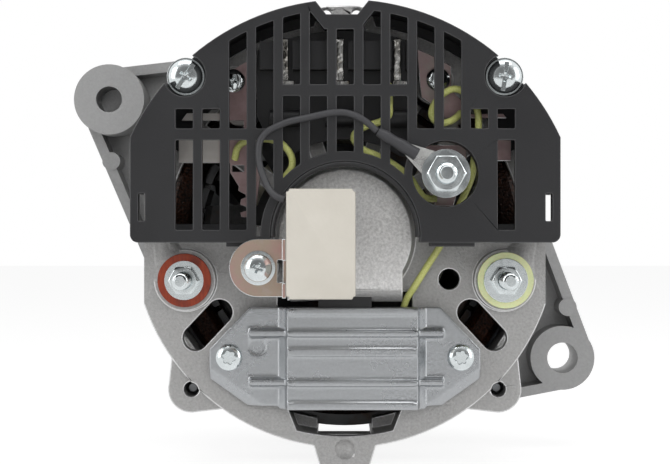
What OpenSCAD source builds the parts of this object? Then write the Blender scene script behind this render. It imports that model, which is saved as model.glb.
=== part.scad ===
// Engine alternator with a half-moon rectifier cover on its rear end.
// Seen from the rear, X runs to the right and Z up. Y runs along the rotor
// towards the pulley, and the origin is on the rotor axis, in the middle of
// the belt groove. Sizes are in millimetres.

/* [Brackets] */
// Outer radius of both end brackets
body_r = 64.7; // [64:0.1:67]
// Half width between the flats on the rear bracket
flat_x = 61.2; // [60.8:0.1:62]
// Thickness of each bracket's end plate
plate_t = 4; // [3:0.5:6]
// Radial width of the ledge that clamps the stator core
seat_lip = 2.5; // [1.5:0.5:4]
// Length of the rim that laps over the stator core
rim_lap = 3; // [2:0.5:5]
// Distance of the through bolts from the rotor axis
ear_pcr = 66.5; // [66:0.1:68]
// Radius of the bolt ears
ear_r = 7.2; // [6.5:0.1:8]
// Radius of the wide root of each bolt ear
ear_root_r = 13; // [11:0.5:14]
// Distance from the rear plate forward to the ears' rear faces
ear_drop = 4; // [3:0.5:6]
// Outer radius of the tongues at the top and the bottom
tongue_r = 70.7; // [69:0.1:72]
// Half width of the tongues at their root
tongue_w = 10.2; // [8:0.1:12]
// Half width of the sight gap between the core and the rims
sight_w = 8.5; // [6:0.5:10]

/* [Lengths along the rotor] */
// Distance from the belt line back to the fan disc
fan_setback = 10; // [9.5:0.5:14]
// Depth of the fan with its blades
fan_depth = 13; // [10:0.5:18]
// Running gap between the fan blades and the front bracket
fan_gap = 3; // [2:0.5:5]
// Length of the front bracket
front_len = 32; // [30:0.5:38]
// Length of the laminated stator core
stator_len = 28; // [26:0.5:32]
// Length of the rear bracket
rear_len = 26; // [25:0.5:32]
// Height of the slip ring hub behind the rear bracket
hub_h = 13; // [13:0.5:16]
// Height of the rear cover behind the rear bracket
cover_h = 28; // [26:0.5:32]

/* [Rear cover] */
// Outer radius of the cover
cover_r = 69.3; // [69:0.1:71]
// Half width of the cover between its flat sides
cover_x = 63; // [62.9:0.1:64.5]
// Height of the cover's lower edge
cover_foot = -1.9; // [-3:0.1:-1]
// Wall thickness of the cover's skirt
cover_wall = 1.5; // [1.2:0.1:1.6]
// Thickness of the cover's face
face_t = 2.2; // [1.5:0.1:3]
// Radius of the opening around the hub
hub_open_r = 22; // [21.6:0.1:23]
// Radial width of the solid ring around that opening
hub_ring = 2.9; // [2:0.1:4]
// Width of the solid border along the arc
border = 2.9; // [2:0.1:4]
// Depth of the pockets that take the cover screws
pocket_depth = 7; // [5:0.5:9]
// Radius of those pockets
pocket_r = 6.2; // [6:0.1:7]
// Radius of the opening around the output terminal
output_open_r = 9.65; // [8:0.05:10]
// Sideways offset of the notch in the arc
notch_x = -1; // [-2:0.5:2]
// Half width of the notch at its floor
notch_w = 4.6; // [3:0.1:6]
// Height of the notch's floor above the axis
notch_floor = 64.9; // [64:0.1:66]

/* [Grille] */
// Distance between the columns of the grille
col_pitch = 7.85; // [7.5:0.05:8]
// Width of each grille window
col_w = 5.05; // [4:0.05:6]
// Width of the cross bars
bar_w = 3.4; // [2.5:0.1:4]
// Lower edge of the high cross bar
bar_high = 41; // [40:0.1:43]
// Lower edge of the middle cross bar
bar_mid = 28.1; // [27:0.1:30]
// Height of the small outer windows
small_h = 5.7; // [4:0.1:7]
// Lower edge of the tall outer windows
tall_foot = 1.8; // [1:0.1:3]

/* [Hub and regulator opening] */
// Radius of the hub's face
hub_r = 20.1; // [19.5:0.1:20.6]
// Radius of the hub at its root
hub_root_r = 21.6; // [20.7:0.1:21.6]
// Half width of the flat-sided neck below the hub
neck_x = 17.3; // [14:0.1:18]
// Lower end of that neck
neck_z = -19.4; // [-21:0.1:-18.5]
// Half width of the regulator opening
window_x = 17.5; // [16.5:0.1:19]
// Radius of the opening's lower edge
window_r = 61; // [60:0.1:61.5]
// Radius of the slanted air slots
slot_r = 3.9; // [3:0.1:4.5]

/* [Terminals] */
// Distance of the two small terminals from the middle
small_term_x = 48.5; // [48:0.1:50]
// Height of the two small terminals
small_term_z = -13.4; // [-14.5:0.1:-13]
// Height of the bosses under the two small terminals
term_boss_h = 5; // [3:0.5:7]
// Thickness of the insulating washers
insulator_t = 2.4; // [1.5:0.1:3]
// Free length of the small terminal studs
small_stud_free = 15; // [10:0.5:20]
// Sideways place of the output terminal
output_x = 29.3; // [28.5:0.1:30]
// Height of the output terminal
output_z = 18.2; // [18:0.1:19]
// Free length of the output stud behind its nut
output_stud_free = 3; // [2:0.5:12]

/* [Regulator] */
// Half width of the regulator's heat sink
reg_x = 41; // [40:0.1:42]
// Upper edge of the heat sink
reg_top = -21.5; // [-22.5:0.1:-21]
// Lower edge of the heat sink
reg_foot = -51.4; // [-53:0.1:-51]
// Distance of the regulator screws from the middle
reg_screw_x = 35; // [34:0.1:36]
// Height of the regulator screws
reg_screw_z = -36.7; // [-38:0.1:-36]
// Height of the bosses under the heat sink
reg_boss_h = 2.5; // [2:0.5:4]
// Thickness of the heat sink's plate
reg_plate_t = 3.5; // [3:0.5:5]
// Height of the block above the plate
reg_block_h = 6; // [6:0.5:8]
// Height of the cooling ribs
rib_h = 1.2; // [0.8:0.1:2]
// Width of the cooling ribs
rib_w = 1.8; // [1.4:0.1:2.4]

/* [Brushes] */
// Width of a brush along the rotor
brush_w = 4.4; // [3.6:0.1:4.4]
// Width of a brush across the rotor
brush_b = 6.4; // [5:0.1:7]
// Length of a brush
brush_len = 15; // [12:0.5:16]
// Distance between the two brushes
brush_pitch = 5.6; // [5.5:0.1:5.8]
// Length that each spring fills at rest
spring_len = 13.4; // [12:0.2:16]
// Wire diameter of the springs
spring_wire = 0.5; // [0.4:0.05:0.6]
// Turns of each spring
spring_turns = 7; // [5:1:9]

/* [Capacitor] */
// Left side of the capacitor
cap_x0 = -17; // [-17.5:0.1:-16.5]
// Width of the capacitor
cap_w = 19.9; // [16:0.1:22]
// Lower end of the capacitor
cap_z0 = -18.1; // [-20:0.1:-17.5]
// Height of the capacitor
cap_h = 31.7; // [30:0.1:34]
// Depth of the capacitor
cap_d = 13; // [12:0.5:16]
// Gap between the bracket's foot and the capacitor's front
cap_lift = 2; // [1:0.5:4]
// Thickness of the capacitor bracket's sheet
sheet_t = 1.2; // [1:0.1:1.5]
// Distance of the capacitor screw from the axis, across
cap_screw_x = -25.4; // [-26:0.1:-25]
// Height of the capacitor screw
cap_screw_z = -9.3; // [-10:0.1:-9]
// Radius of the bracket's round end
cap_tab_r = 8.5; // [7.5:0.1:8.8]
// Diameter of the capacitor's lead
lead_d = 2; // [1.6:0.1:2.2]
// Diameter of the shrink sleeve on the lead
sleeve_d = 3.6; // [3:0.1:4]

/* [Rectifier] */
// Height of the heat sinks' front faces behind the bracket
sink_lift = 9; // [7:0.5:10]
// Thickness of the heat sinks
sink_t = 3; // [2:0.5:4]
// Radius of a power diode
diode_r = 4; // [3.5:0.1:4.2]
// Height of a power diode in front of its heat sink
diode_h = 5; // [4:0.5:6]

/* [Stator] */
// Outer diameter of the core
stator_d = 120; // [119:0.5:120.5]
// Bore of the core
stator_bore = 90; // [88:0.5:92]
// Number of winding slots
slot_count = 36; // [24:12:48]
// Width of a winding slot
slot_w = 3; // [2.4:0.1:3.2]
// Depth of a winding slot
slot_depth = 9; // [7:0.5:10]
// Width of the slot's mouth
slot_mouth = 1.6; // [1:0.1:2]
// Length of each end winding
end_turn = 11; // [8:0.5:11]

/* [Rotor] */
// Air gap between the claws and the core
air_gap = 0.45; // [0.35:0.05:0.6]
// Length of the claws, end to end
claw_len = 35; // [33:0.5:36]
// Thickness of each claw's disc
claw_disc = 10; // [8:0.5:11]
// Number of fingers on each claw
finger_count = 6; // [6:1:8]
// Half width of a finger at its root
finger_root = 9.6; // [8:0.1:10]
// Half width of a finger at its tip
finger_tip = 5; // [3:0.1:6]
// Radius of the shaft between its bearings
shaft_mid_r = 10.5; // [10:0.1:11]
// Radius of the slip rings
ring_r = 7.2; // [7:0.1:7.4]
// Width of a slip ring
ring_w = 4.4; // [3.8:0.1:4.4]

/* [Bearings] */
// Bore radius of the front bearing
fb_bore = 8.5; // [8.1:0.1:9.5]
// Outer radius of the front bearing
fb_out = 23.5; // [22:0.5:24]
// Width of the front bearing
fb_w = 14; // [12:0.5:14]
// Bore radius of the rear bearing
rb_bore = 7.5; // [6.5:0.1:8]
// Outer radius of the rear bearing
rb_out = 17.5; // [16.5:0.5:18]
// Width of the rear bearing
rb_w = 11; // [10:0.5:11]

/* [Fan and pulley] */
// Outer radius of the fan
fan_r = 59; // [54:0.5:60]
// Thickness of the fan's sheet
fan_t = 1.6; // [1.2:0.1:2]
// Number of fan blades
blade_count = 12; // [8:1:14]
// Outer radius of the pulley
pulley_r = 36; // [33:0.5:38]
// Radius at which the two pulley halves meet
pulley_root_r = 18.5; // [17:0.5:20]
// Angle of each flank of the belt groove
flank = 19; // [17:0.5:20]
// Thickness of the pulley's sheet
pulley_t = 2.6; // [2:0.1:3]
// Width across the flats of the pulley nut
nut_af = 24; // [22:1:27]
// Height of the pulley nut
nut_h = 9; // [8:0.5:12]

/* [Mounting lugs] */
// Place of the pivot lug across the body
pivot_x = 73.1; // [72:0.1:75]
// Height of the pivot lug
pivot_z = -40.9; // [-42:0.1:-40]
// Radius of the pivot lug
pivot_r = 10.7; // [10:0.1:12]
// Radius of the pivot bore
pivot_bore_r = 5.1; // [4.1:0.1:6.1]
// Length of the pivot lug
pivot_len = 27; // [24:0.5:30]
// Distance from the front face forward to the pivot lug's end
pivot_reach = 7; // [5:0.5:8]
// Place of the adjusting lug across the body
adjust_x = -77.1; // [-79:0.1:-76]
// Height of the adjusting lug
adjust_z = 44.7; // [44:0.1:46]
// Radius of the adjusting lug
adjust_r = 11.5; // [10.5:0.1:12.5]
// Radius of the adjusting lug's tapped hole
adjust_hole_r = 4.25; // [3.4:0.05:5.1]
// Depth of that hole
adjust_depth = 18; // [12:0.5:20]
// Distance from the front face back to the adjusting lug's end
adjust_back = 35; // [30:0.5:36]
// Length of the adjusting lug
adjust_len = 24; // [20:0.5:28]
// Depth of the arms
arm_depth = 20; // [16:0.5:24]
// Thickness of the arms' edges
arm_wall = 3.6; // [3:0.1:5]
// Thickness of the arms' floor
arm_floor = 4; // [3:0.5:6]

/* [Clearances] */
// Gap between pieces that fit into each other
fit = 0.05; // [0.02:0.01:0.08]
// Gap between loose pieces
loose = 0.3; // [0.2:0.05:0.4]

/* [Hidden] */
$fn = 48;

// Planes across the rotor axis, from the front to the rear
y_fan = -fan_setback;
y_front = y_fan - fan_depth - fan_gap;
y_core_front = y_front - front_len;
y_core_rear = y_core_front - stator_len;
y_rear = y_core_rear - rear_len;
y_hub = y_rear - hub_h;
y_cover = y_rear - cover_h;
y_ear = y_rear + ear_drop;
y_core_mid = (y_core_front + y_core_rear) / 2;

// Stator and bracket radii
core_r = stator_d / 2;
wall_in = core_r - seat_lip;
claw_r = stator_bore / 2 - air_gap;

// Bolt and ear places
ear_c = ear_pcr * sqrt(0.5);
ear_places = [[ear_c, ear_c], [-ear_c, ear_c], [-ear_c, -ear_c], [ear_c, -ear_c]];
ear_root = 0.86;
m5_r = 2.5;
m5_pitch_r = 2.24;
m6_r = 3;
m6_pitch_r = 2.68;
bolt_head_af = 8;
bolt_head_h = 3.5;
bolt_tip = y_rear + 12;
cover_screw_tip = bolt_tip - 2.5;

// Bearing and slip ring planes
fb_front = y_front - plate_t - 1;
fb_rear = fb_front - fb_w;
rb_rear = y_rear + plate_t;
rb_front = rb_rear + rb_w;
bearing_boss_wall = 4;
slot_front = y_rear + 2.3;
slot_rear = y_hub + 2.1;
ring_mid = (slot_front + slot_rear) / 2;
ring_near = ring_mid - brush_pitch / 2;
ring_far = ring_mid + brush_pitch / 2;

// Rear cover
recess_y = y_cover + pocket_depth;
skirt_end = y_ear - 0.5;
skirt_gap = 0.25;

// Grille
small_top = bar_mid + bar_w + small_h;
inner_r = cover_r - border;
ring_out = hub_open_r + hub_ring;

// Regulator
reg_front = y_rear - reg_boss_h;
reg_face = reg_front - reg_plate_t;
reg_block = reg_face - reg_block_h;
block_x0 = -17.8;
block_x1 = 22.4;
block_skin = 1.4;
holder_x = 14;
holder_neck_x = 8;
holder_top = -9.6;
holder_shoulder = -23.2;
holder_foot = -47.3;
holder_inner = y_rear + 6;
channel_gap = 0.15;
brush_top = -ring_r - 0.1;
spring_top = brush_top - brush_len - 0.05;
channel_foot = spring_top - spring_len - 0.05;

// Terminals
term_boss_r = 9.4;
term_seat = y_rear - term_boss_h;
washer_t = 1;
small_nut_h = 4.5;
exciter_nut_rear = term_seat - insulator_t - small_nut_h;
phase_nut_rear = exciter_nut_rear - washer_t;
stud_head_y = y_rear + plate_t + 3;
term_bore = 3;

// Rectifier
sink_front = y_rear - sink_lift;
sink_rear = sink_front - sink_t;
sink_r = cover_r - cover_wall - 7.8;
sink_x = cover_x - 13.2;
board_posts = [[-22, 44], [15, 34]];
left_screw = [-33.4, 46.3];
right_screw = [27.8, 46.8];
rect_screws = [left_screw, right_screw];
rect_boss_r = 5;
pan_r = 3.6;
m4_r = 2;
output_c = [output_x, output_z];
output_seat = y_cover - 1.6;
terminal_t = 1;
output_nut_h = 5.6;
output_nut_rear = output_seat - terminal_t - output_nut_h;

// Capacitor
pillar_r = 5.6;
pillar_y = y_cover - loose;
cap_front = pillar_y - cap_lift;
cap_rear = cap_front - cap_d;
cap_screw = [cap_screw_x, cap_screw_z];
cap_leg_x = cap_x0 - sheet_t;

// Pulley and shaft stack
groove_half = (pulley_r - pulley_root_r) * tan(flank);
web_front = pulley_t;
lock_t = 2.4;
shaft_tip = web_front + lock_t + nut_h + 2;

function spot(c, r, a) = c + r * [cos(a), sin(a)];
function unit(v) = v / norm(v);

// Flat shape in X and Z, as seen from the rear, filling from y0 back to y1
module slab(y0, y1) {
    translate([0, max(y0, y1), 0])
        rotate([90, 0, 0])
            linear_extrude(abs(y1 - y0))
                children();
}

// Outline in radius and Y, turned about the rotor axis
module turned() {
    rotate([-90, 0, 0])
        rotate_extrude($fn = 96)
            children();
}

// Round bar along Y at a place given in X and Z
module rod(place, r, y0, y1) {
    translate([place[0], max(y0, y1), place[1]])
        rotate([90, 0, 0])
            cylinder(r = r, h = abs(y1 - y0));
}

// Ring along Y
module collar(place, r_out, r_in, y0, y1) {
    slab(y0, y1)
        translate(place)
            difference() {
                circle(r_out);
                circle(r_in);
            }
}

// Two circles joined along their outer tangents, the straight sides a hair inside them
module link(c1, r1, c2, r2) {
    hair = 0.03;
    d = norm(c2 - c1);
    a = atan2(c2[1] - c1[1], c2[0] - c1[0]);
    b = acos((r1 - r2) / d);
    s1 = r1 - hair;
    s2 = r2 - hair;
    polygon([spot(c1, s1, a - b), spot(c2, s2, a - b), spot(c2, s2, a + b), spot(c1, s1, a + b)]);
    translate(c1) circle(r1);
    translate(c2) circle(r2);
}

// Smooth curve through a list of points
function along(a, b, c, d, t) = 0.5 * (2 * b + (c - a) * t
    + (2 * a - 5 * b + 4 * c - d) * t * t + (3 * b - a - 3 * c + d) * t * t * t);
function route(p, n) = [
    for (i = [0 : len(p) - 2], j = [0 : n - 1])
        along(p[max(i - 1, 0)], p[i], p[i + 1], p[min(i + 2, len(p) - 1)], j / n),
    p[len(p) - 1]
];

// Round wire of radius r that follows a list of points; ref is never along it
module wire(points, r, ref, sides = 8) {
    n = len(points);
    rings = [
        for (i = [0 : n - 1])
            let (t = unit(points[min(i + 1, n - 1)] - points[max(i - 1, 0)]))
            let (u = unit(cross(t, ref)), v = cross(t, u))
            for (k = [0 : sides - 1])
                points[i] + r * (cos(360 * k / sides) * u + sin(360 * k / sides) * v)
    ];
    walls = [
        for (i = [0 : n - 2], k = [0 : sides - 1])
            let (a = i * sides + k, b = i * sides + (k + 1) % sides)
            each [[a, a + sides, b + sides], [a, b + sides, b]]
    ];
    start = [for (k = [0 : sides - 1]) k];
    finish = [for (k = [sides - 1 : -1 : 0]) (n - 1) * sides + k];
    polyhedron(rings, concat(walls, [start, finish]));
}

// Notch in the top of the cover, widened and lowered by grow for its border
module notch(grow) {
    rise = cover_r - notch_floor + 4 + grow;
    foot = notch_w + grow * 0.2;
    top = foot + rise * 0.8;
    translate([notch_x, notch_floor - grow * 1.5])
        polygon([[-foot, 0], [foot, 0], [top, rise], [-top, rise]]);
}

module cover_outline(inset) {
    corner = 2.4;
    difference() {
        intersection() {
            circle(cover_r - inset, $fn = 96);
            union() {
                translate([-cover_x + inset, cover_foot + corner])
                    square([2 * (cover_x - inset), cover_r]);
                translate([-cover_x + corner, cover_foot + inset])
                    square([2 * (cover_x - corner), cover_r]);
                for (s = [-1, 1])
                    translate([s * (cover_x - corner), cover_foot + corner])
                        circle(corner - min(inset, 1.4));
            }
        }
        notch(inset);
    }
}

// Slots between the bars, one column at a time
module grille_columns() {
    for (i = [-6 : 6]) {
        n = abs(i);
        centre = n <= 2;
        outer = n >= 5;
        upper_foot = centre ? bar_high + bar_w : bar_mid + bar_w;
        translate([i * col_pitch - col_w / 2, 0]) {
            translate([0, upper_foot])
                square([col_w, outer ? small_h : cover_r]);
            if (centre)
                square([col_w, bar_high]);
            else if (i < 0 || i == 6)
                translate([0, n == 3 ? 0 : tall_foot])
                    square([col_w, bar_mid - (n == 3 ? 0 : tall_foot)]);
        }
    }
}

module grille() {
    difference() {
        intersection() {
            grille_columns();
            circle(inner_r);
        }
        notch(border);
        circle(ring_out);
        translate(output_c) circle(output_open_r + 2.4);
        for (s = [-1, 1])
            translate([s * ear_c, ear_c]) circle(pocket_r + 2);
    }
}

module cover_pockets() {
    for (s = [-1, 1])
        translate([s * ear_c, ear_c]) children();
}

module rear_cover() {
    lug_r = 5;
    clip_x = 58.6;
    color("#3a3a3c")
        difference() {
            union() {
                slab(y_cover, y_cover + face_t)
                    difference() {
                        cover_outline(0);
                        grille();
                    }
                slab(y_cover, skirt_end)
                    difference() {
                        cover_outline(0);
                        cover_outline(cover_wall);
                        cover_pockets() circle(pocket_r + 0.6);
                        translate([-cover_x, cover_foot - 1])
                            square([2 * cover_x, cover_wall + 1.2]);
                    }
                slab(y_cover, y_cover + 14)
                    intersection() {
                        difference() {
                            circle(hub_open_r + 2);
                            circle(hub_open_r);
                        }
                        cover_outline(0);
                    }
                collar(output_c, output_open_r + 1.6, output_open_r, y_cover, y_cover + 8);
                slab(y_cover, recess_y + face_t)
                    intersection() {
                        cover_outline(0);
                        cover_pockets() circle(pocket_r + 1.6);
                    }
                slab(recess_y, y_rear - loose)
                    cover_pockets() circle(lug_r);
                for (x = [-35, 25])
                    translate([x, y_cover + face_t, cover_foot - 1.2])
                        cube([x < 0 ? 7 : 13, 12, 3]);
            }
            slab(y_cover - 1, y_cover + face_t + 30)
                circle(hub_open_r);
            slab(y_cover - 1, y_cover + face_t + 8)
                translate(output_c) circle(output_open_r);
            slab(y_cover - 1, recess_y)
                cover_pockets() circle(pocket_r);
            slab(y_cover - 1, y_rear + 1)
                cover_pockets() circle(m5_r + 0.25);
            for (s = [-1, 1])
                translate([s * (clip_x + 1) - 1, y_cover - 1, 4.4])
                    cube([2, face_t + 2, 8.1]);
            // Gaps in the side walls beside the clip slots
            for (s = [-1, 1])
                translate([s * cover_x - 3, skirt_end - 16, 4.4])
                    cube([6, 20, 8.1]);
        }
}

module pan_head(r, h) {
    rotate_extrude()
        polygon([[0, 0], [r, 0], [r, h * 0.35], [r * 0.82, h * 0.8], [r * 0.5, h], [0, h]]);
}

module cover_screws() {
    head_r = 5;
    head_h = 3;
    washer_r = 5.6;
    color("#c9ced2")
        for (s = [-1, 1]) {
            rod([s * ear_c, ear_c], washer_r, recess_y, recess_y - washer_t);
            rod([s * ear_c, ear_c], m5_pitch_r, recess_y, cover_screw_tip);
            translate([s * ear_c, recess_y - washer_t, ear_c])
                rotate([90, 0, 0])
                    pan_head(head_r, head_h);
        }
}

// Flat outline of both brackets without ears
module body_outline(flat) {
    intersection() {
        circle(body_r, $fn = 96);
        square([2 * flat, 2 * body_r + 2], center = true);
    }
}

module ears() {
    for (p = ear_places)
        link(p, ear_r, p * ear_root, ear_root_r);
}

module tongues() {
    for (s = [0, 180])
        rotate(s)
            intersection() {
                circle(tongue_r, $fn = 96);
                polygon([[-tongue_w, body_r - 3], [-tongue_w + 3, tongue_r + 1],
                    [tongue_w - 3, tongue_r + 1], [tongue_w, body_r - 3]]);
            }
}

module regulator_window() {
    top = -17;
    shoulder = -46;
    upper_x = window_x + 3;
    intersection() {
        circle(window_r, $fn = 96);
        polygon([[-upper_x, top], [upper_x, top], [upper_x, shoulder], [window_x, shoulder - 6],
            [window_x - 4, -window_r - 1], [-window_x + 4, -window_r - 1],
            [-window_x, shoulder - 6], [-upper_x, shoulder]]);
    }
}

module air_slots() {
    low = [45.5, -31.1];
    high = [38.2, -23.3];
    link(low, slot_r, high, slot_r);
    mirror([1, 0]) link(low, slot_r, high, slot_r);
}

// Air openings behind the cover, with ribs and screw seats between them
module upper_vents() {
    difference() {
        intersection() {
            circle(wall_in - 3.5, $fn = 96);
            translate([-wall_in, cover_foot + 5])
                square([2 * wall_in, wall_in]);
        }
        circle(rb_out + bearing_boss_wall + 4);
        for (a = [36, 72, 108, 144])
            rotate(a)
                translate([0, -2.5])
                    square([wall_in, 5]);
        for (p = rect_screws)
            translate(p) circle(rect_boss_r + 2);
        for (p = board_posts)
            translate(p) circle(5.5);
    }
}

// What the rear bracket gives up where the cover's skirt laps over it
module skirt_rebate() {
    inset = cover_wall + skirt_gap;
    slab(y_rear - 1, skirt_end + loose) {
        difference() {
            translate([-body_r - 20, cover_foot + cover_wall])
                square([2 * body_r + 40, body_r + 40]);
            intersection() {
                circle(cover_r - inset, $fn = 96);
                square([2 * (cover_x - inset), 3 * cover_r], center = true);
            }
        }
        notch(inset);
    }
}

module rear_bracket() {
    seat_r = core_r + fit;
    slot_z = tongue_r - 2.4;
    dimple_z = tongue_r - 5.6;
    color("#96969a")
        difference() {
            union() {
                difference() {
                    union() {
                        slab(y_rear, y_rear + plate_t)
                            body_outline(flat_x);
                        slab(y_rear + 1, y_core_rear + rim_lap)
                            difference() {
                                body_outline(flat_x);
                                circle(wall_in, $fn = 96);
                            }
                        slab(y_rear, y_rear + 12)
                            difference() {
                                tongues();
                                circle(wall_in, $fn = 96);
                            }
                    }
                    skirt_rebate();
                }
                slab(y_ear, y_core_rear + rim_lap)
                    difference() {
                        ears();
                        circle(wall_in, $fn = 96);
                    }
                turned()
                    polygon([[0, y_rear + 1], [hub_root_r, y_rear + 1], [hub_r, y_hub], [0, y_hub]]);
                slab(y_rear + 1, y_hub + 1.6)
                    translate([-neck_x, neck_z])
                        square([2 * neck_x, -neck_z]);
                slab(y_hub + 1.6, y_hub)
                    translate([-neck_x, neck_z + 3.6])
                        square([2 * neck_x, -neck_z - 3.6]);
                rod([0, 0], rb_out + bearing_boss_wall, y_rear + 1, rb_front - 0.5);
                rod(cap_screw, pillar_r, y_rear + 1, pillar_y);
                for (i = [0, 1])
                    rod(ear_places[i], 5.4, y_rear, y_ear + 1);
                for (s = [-1, 1]) {
                    rod([s * small_term_x, small_term_z], term_boss_r, y_rear + 1, term_seat);
                    rod([s * reg_screw_x, reg_screw_z], 5.5, y_rear + 1, reg_front);
                }
                for (p = rect_screws)
                    rod(p, rect_boss_r, y_rear + 1, sink_front);
            }
            // Seat of the laminated core
            rod([0, 0], seat_r, y_core_rear, y_core_rear + rim_lap + 1);
            // Bearing seat, shaft way and slip ring chamber
            rod([0, 0], rb_out + fit, rb_rear, rb_front + 5);
            rod([0, 0], ring_r + 6.8, rb_rear + 1, slot_rear);
            translate([-holder_neck_x - loose, slot_rear, -30])
                cube([2 * (holder_neck_x + loose), slot_front - slot_rear, 30]);
            difference() {
                slab(y_rear - 3, rb_front + 4)
                    difference() {
                        regulator_window();
                        circle(rb_out + bearing_boss_wall - 0.2);
                    }
                slab(y_hub - 1, y_rear - 0.01)
                    translate([-neck_x - 1, neck_z])
                        square([2 * neck_x + 2, -neck_z]);
            }
            slab(y_rear - 1, y_rear + plate_t + 1) {
                air_slots();
                upper_vents();
                translate([31.8, -13.2]) circle(3.15);
            }
            // Sight gap past the core at the bottom
            translate([-sight_w, y_rear + plate_t, -body_r + 1.5])
                cube([2 * sight_w, rear_len, 10]);
            // Side vents between the ears
            for (a = [0, 180, 270])
                rotate([0, a, 0])
                    for (b = [-14, 14])
                        rotate([0, b, 0])
                            translate([wall_in - 3, y_rear + plate_t + 2.5, -5.5])
                                cube([14, 13, 11]);
            for (s = [-1, 1]) {
                rod([s * small_term_x, small_term_z], term_bore, y_rear + plate_t + 1, term_seat - 1);
                rod([s * reg_screw_x, reg_screw_z], m4_r + fit, y_rear + 3, reg_front - 1);
            }
            for (p = rect_screws)
                rod(p, m4_r + fit, y_rear + 2, sink_front - 1);
            for (p = ear_places)
                rod(p, m5_pitch_r + fit, y_rear - 1, y_core_rear + rim_lap + 1);
            rod(cap_screw, m5_pitch_r + fit, pillar_y - 1, pillar_y + 12);
            // Dimple in the lower tongue and two slots in the upper one
            translate([0, y_rear - 2, -dimple_z])
                sphere(3.8);
            for (s = [-1, 1])
                rod([notch_x + s * 4.7, slot_z], 1.6, y_rear - 1, y_rear + 13);
        }
}

module heatsink_outline() {
    polygon([[-28.8, reg_top], [-reg_x, -34.2], [-reg_x, -43.2], [-29.4, reg_foot],
        [29.4, reg_foot], [reg_x, -43.2], [reg_x, -34.2], [28.8, reg_top]]);
}

module regulator_heatsink() {
    rib_ends = [-28, 29];
    fin_top = reg_face - 3.5;
    flank_cut = 3;
    draft = 2;
    // Height, width and rise of each ridge over the block
    ridges = [[-22.7, 1.6, 0.5], [-29.3, rib_w, rib_h], [-34.9, 2.2, 0.5],
        [-44.1, rib_w, rib_h], [-50.9, 1.8, 0.5]];
    color("#b4b4b8")
        difference() {
            union() {
                slab(reg_front, reg_face)
                    heatsink_outline();
                translate([0, 0, reg_foot - 0.8])
                    linear_extrude(reg_top - reg_foot + 0.8)
                        polygon([[block_x0, reg_front], [block_x0, reg_face], [block_x0 + draft, reg_block],
                            [block_x1 - draft, reg_block], [block_x1, reg_face], [block_x1, reg_front]]);
                for (i = [1, 3])
                    slab(reg_face + 1, fin_top)
                        link([rib_ends[0], ridges[i][0]], rib_w / 2, [rib_ends[1], ridges[i][0]], rib_w / 2 - 0.01);
                for (r = ridges)
                    translate([0, 0, r[0] - r[1] / 2])
                        linear_extrude(r[1])
                            polygon([[block_x0 - r[2] / 3, reg_face + 1], [block_x0 - r[2] / 3, reg_face],
                                [block_x0 + draft, reg_block - r[2]], [block_x1 - draft, reg_block - r[2]],
                                [block_x1 + r[2] / 3, reg_face], [block_x1 + r[2] / 3, reg_face + 1]]);
            }
            // Ejector mark on the plate
            rod([-26.4, -33.3], 2.8, reg_face - 1, reg_face + 0.3);
            // Pocket for the electronics and the brush holder
            translate([-holder_x - loose, reg_block + block_skin, holder_foot - loose])
                cube([2 * (holder_x + loose), 30, holder_shoulder - holder_foot + 2 * loose]);
            translate([-holder_neck_x - loose, reg_block + block_skin, holder_shoulder])
                cube([2 * (holder_neck_x + loose), 30, 10]);
            for (s = [-1, 1])
                rod([s * reg_screw_x, reg_screw_z], m4_r + 0.2, reg_front + 1, reg_face - 1);
            // Sloped lower flanks
            for (s = [-1, 1])
                translate([s * 35.3, reg_face, -47.3])
                    rotate([0, s * 35.2, 0])
                        rotate([45, 0, 0])
                            cube([24, flank_cut, flank_cut], center = true);
        }
}

module regulator_screws() {
    color("#c9ced2")
        for (s = [-1, 1]) {
            rod([s * reg_screw_x, reg_screw_z], m4_r, reg_face, y_rear + 2.5);
            translate([s * reg_screw_x, reg_face, reg_screw_z])
                rotate([90, 0, 0])
                    pan_head(4, 2.4);
        }
}

module brush_channel(y) {
    translate([-brush_b / 2 - channel_gap, y - brush_w / 2 - channel_gap, channel_foot])
        cube([brush_b + 2 * channel_gap, brush_w + 2 * channel_gap, 60]);
}

module brush_holder() {
    neck_front = slot_front - loose;
    neck_rear = slot_rear + loose;
    body_rear = reg_block + block_skin + loose;
    color("#1f1f21")
        difference() {
            union() {
                translate([-holder_x, body_rear, holder_foot])
                    cube([2 * holder_x, holder_inner - body_rear, holder_shoulder - holder_foot]);
                translate([-holder_neck_x, neck_rear, holder_shoulder - 1])
                    cube([2 * holder_neck_x, neck_front - neck_rear, holder_top - holder_shoulder + 1]);
            }
            brush_channel(ring_near);
            brush_channel(ring_far);
        }
}

module brush(y) {
    color("#4a4644")
        difference() {
            translate([-brush_b / 2, y - brush_w / 2, brush_top - brush_len])
                cube([brush_b, brush_w, brush_len + 2]);
            rod([0, 0], ring_r + 0.15, y - brush_w, y + brush_w);
        }
}

module brush_inner() { brush(ring_far); }
module brush_outer() { brush(ring_near); }

module brush_spring(y) {
    coil_r = brush_w / 2 - spring_wire / 2 - 0.2;
    rise = (spring_len - spring_wire) / spring_turns;
    steps = 12;
    foot = spring_top - spring_len + spring_wire / 2;
    points = [
        for (i = [0 : spring_turns * steps])
            [coil_r * cos(360 * i / steps), coil_r * sin(360 * i / steps), foot + rise * i / steps]
    ];
    color("#9a9a98")
        translate([0, y, 0])
            wire(points, spring_wire / 2, [0, 0, 1], 6);
}

module brush_spring_inner() { brush_spring(ring_far); }
module brush_spring_outer() { brush_spring(ring_near); }

module capacitor_body() {
    corner = 0.8;
    color("#d2cec3")
        slab(cap_front, cap_rear)
            translate([cap_x0, cap_z0])
                for (x = [0, corner])
                    translate([x, corner - x])
                        square([cap_w - 2 * x, cap_h - 2 * (corner - x)]);
}

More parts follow.
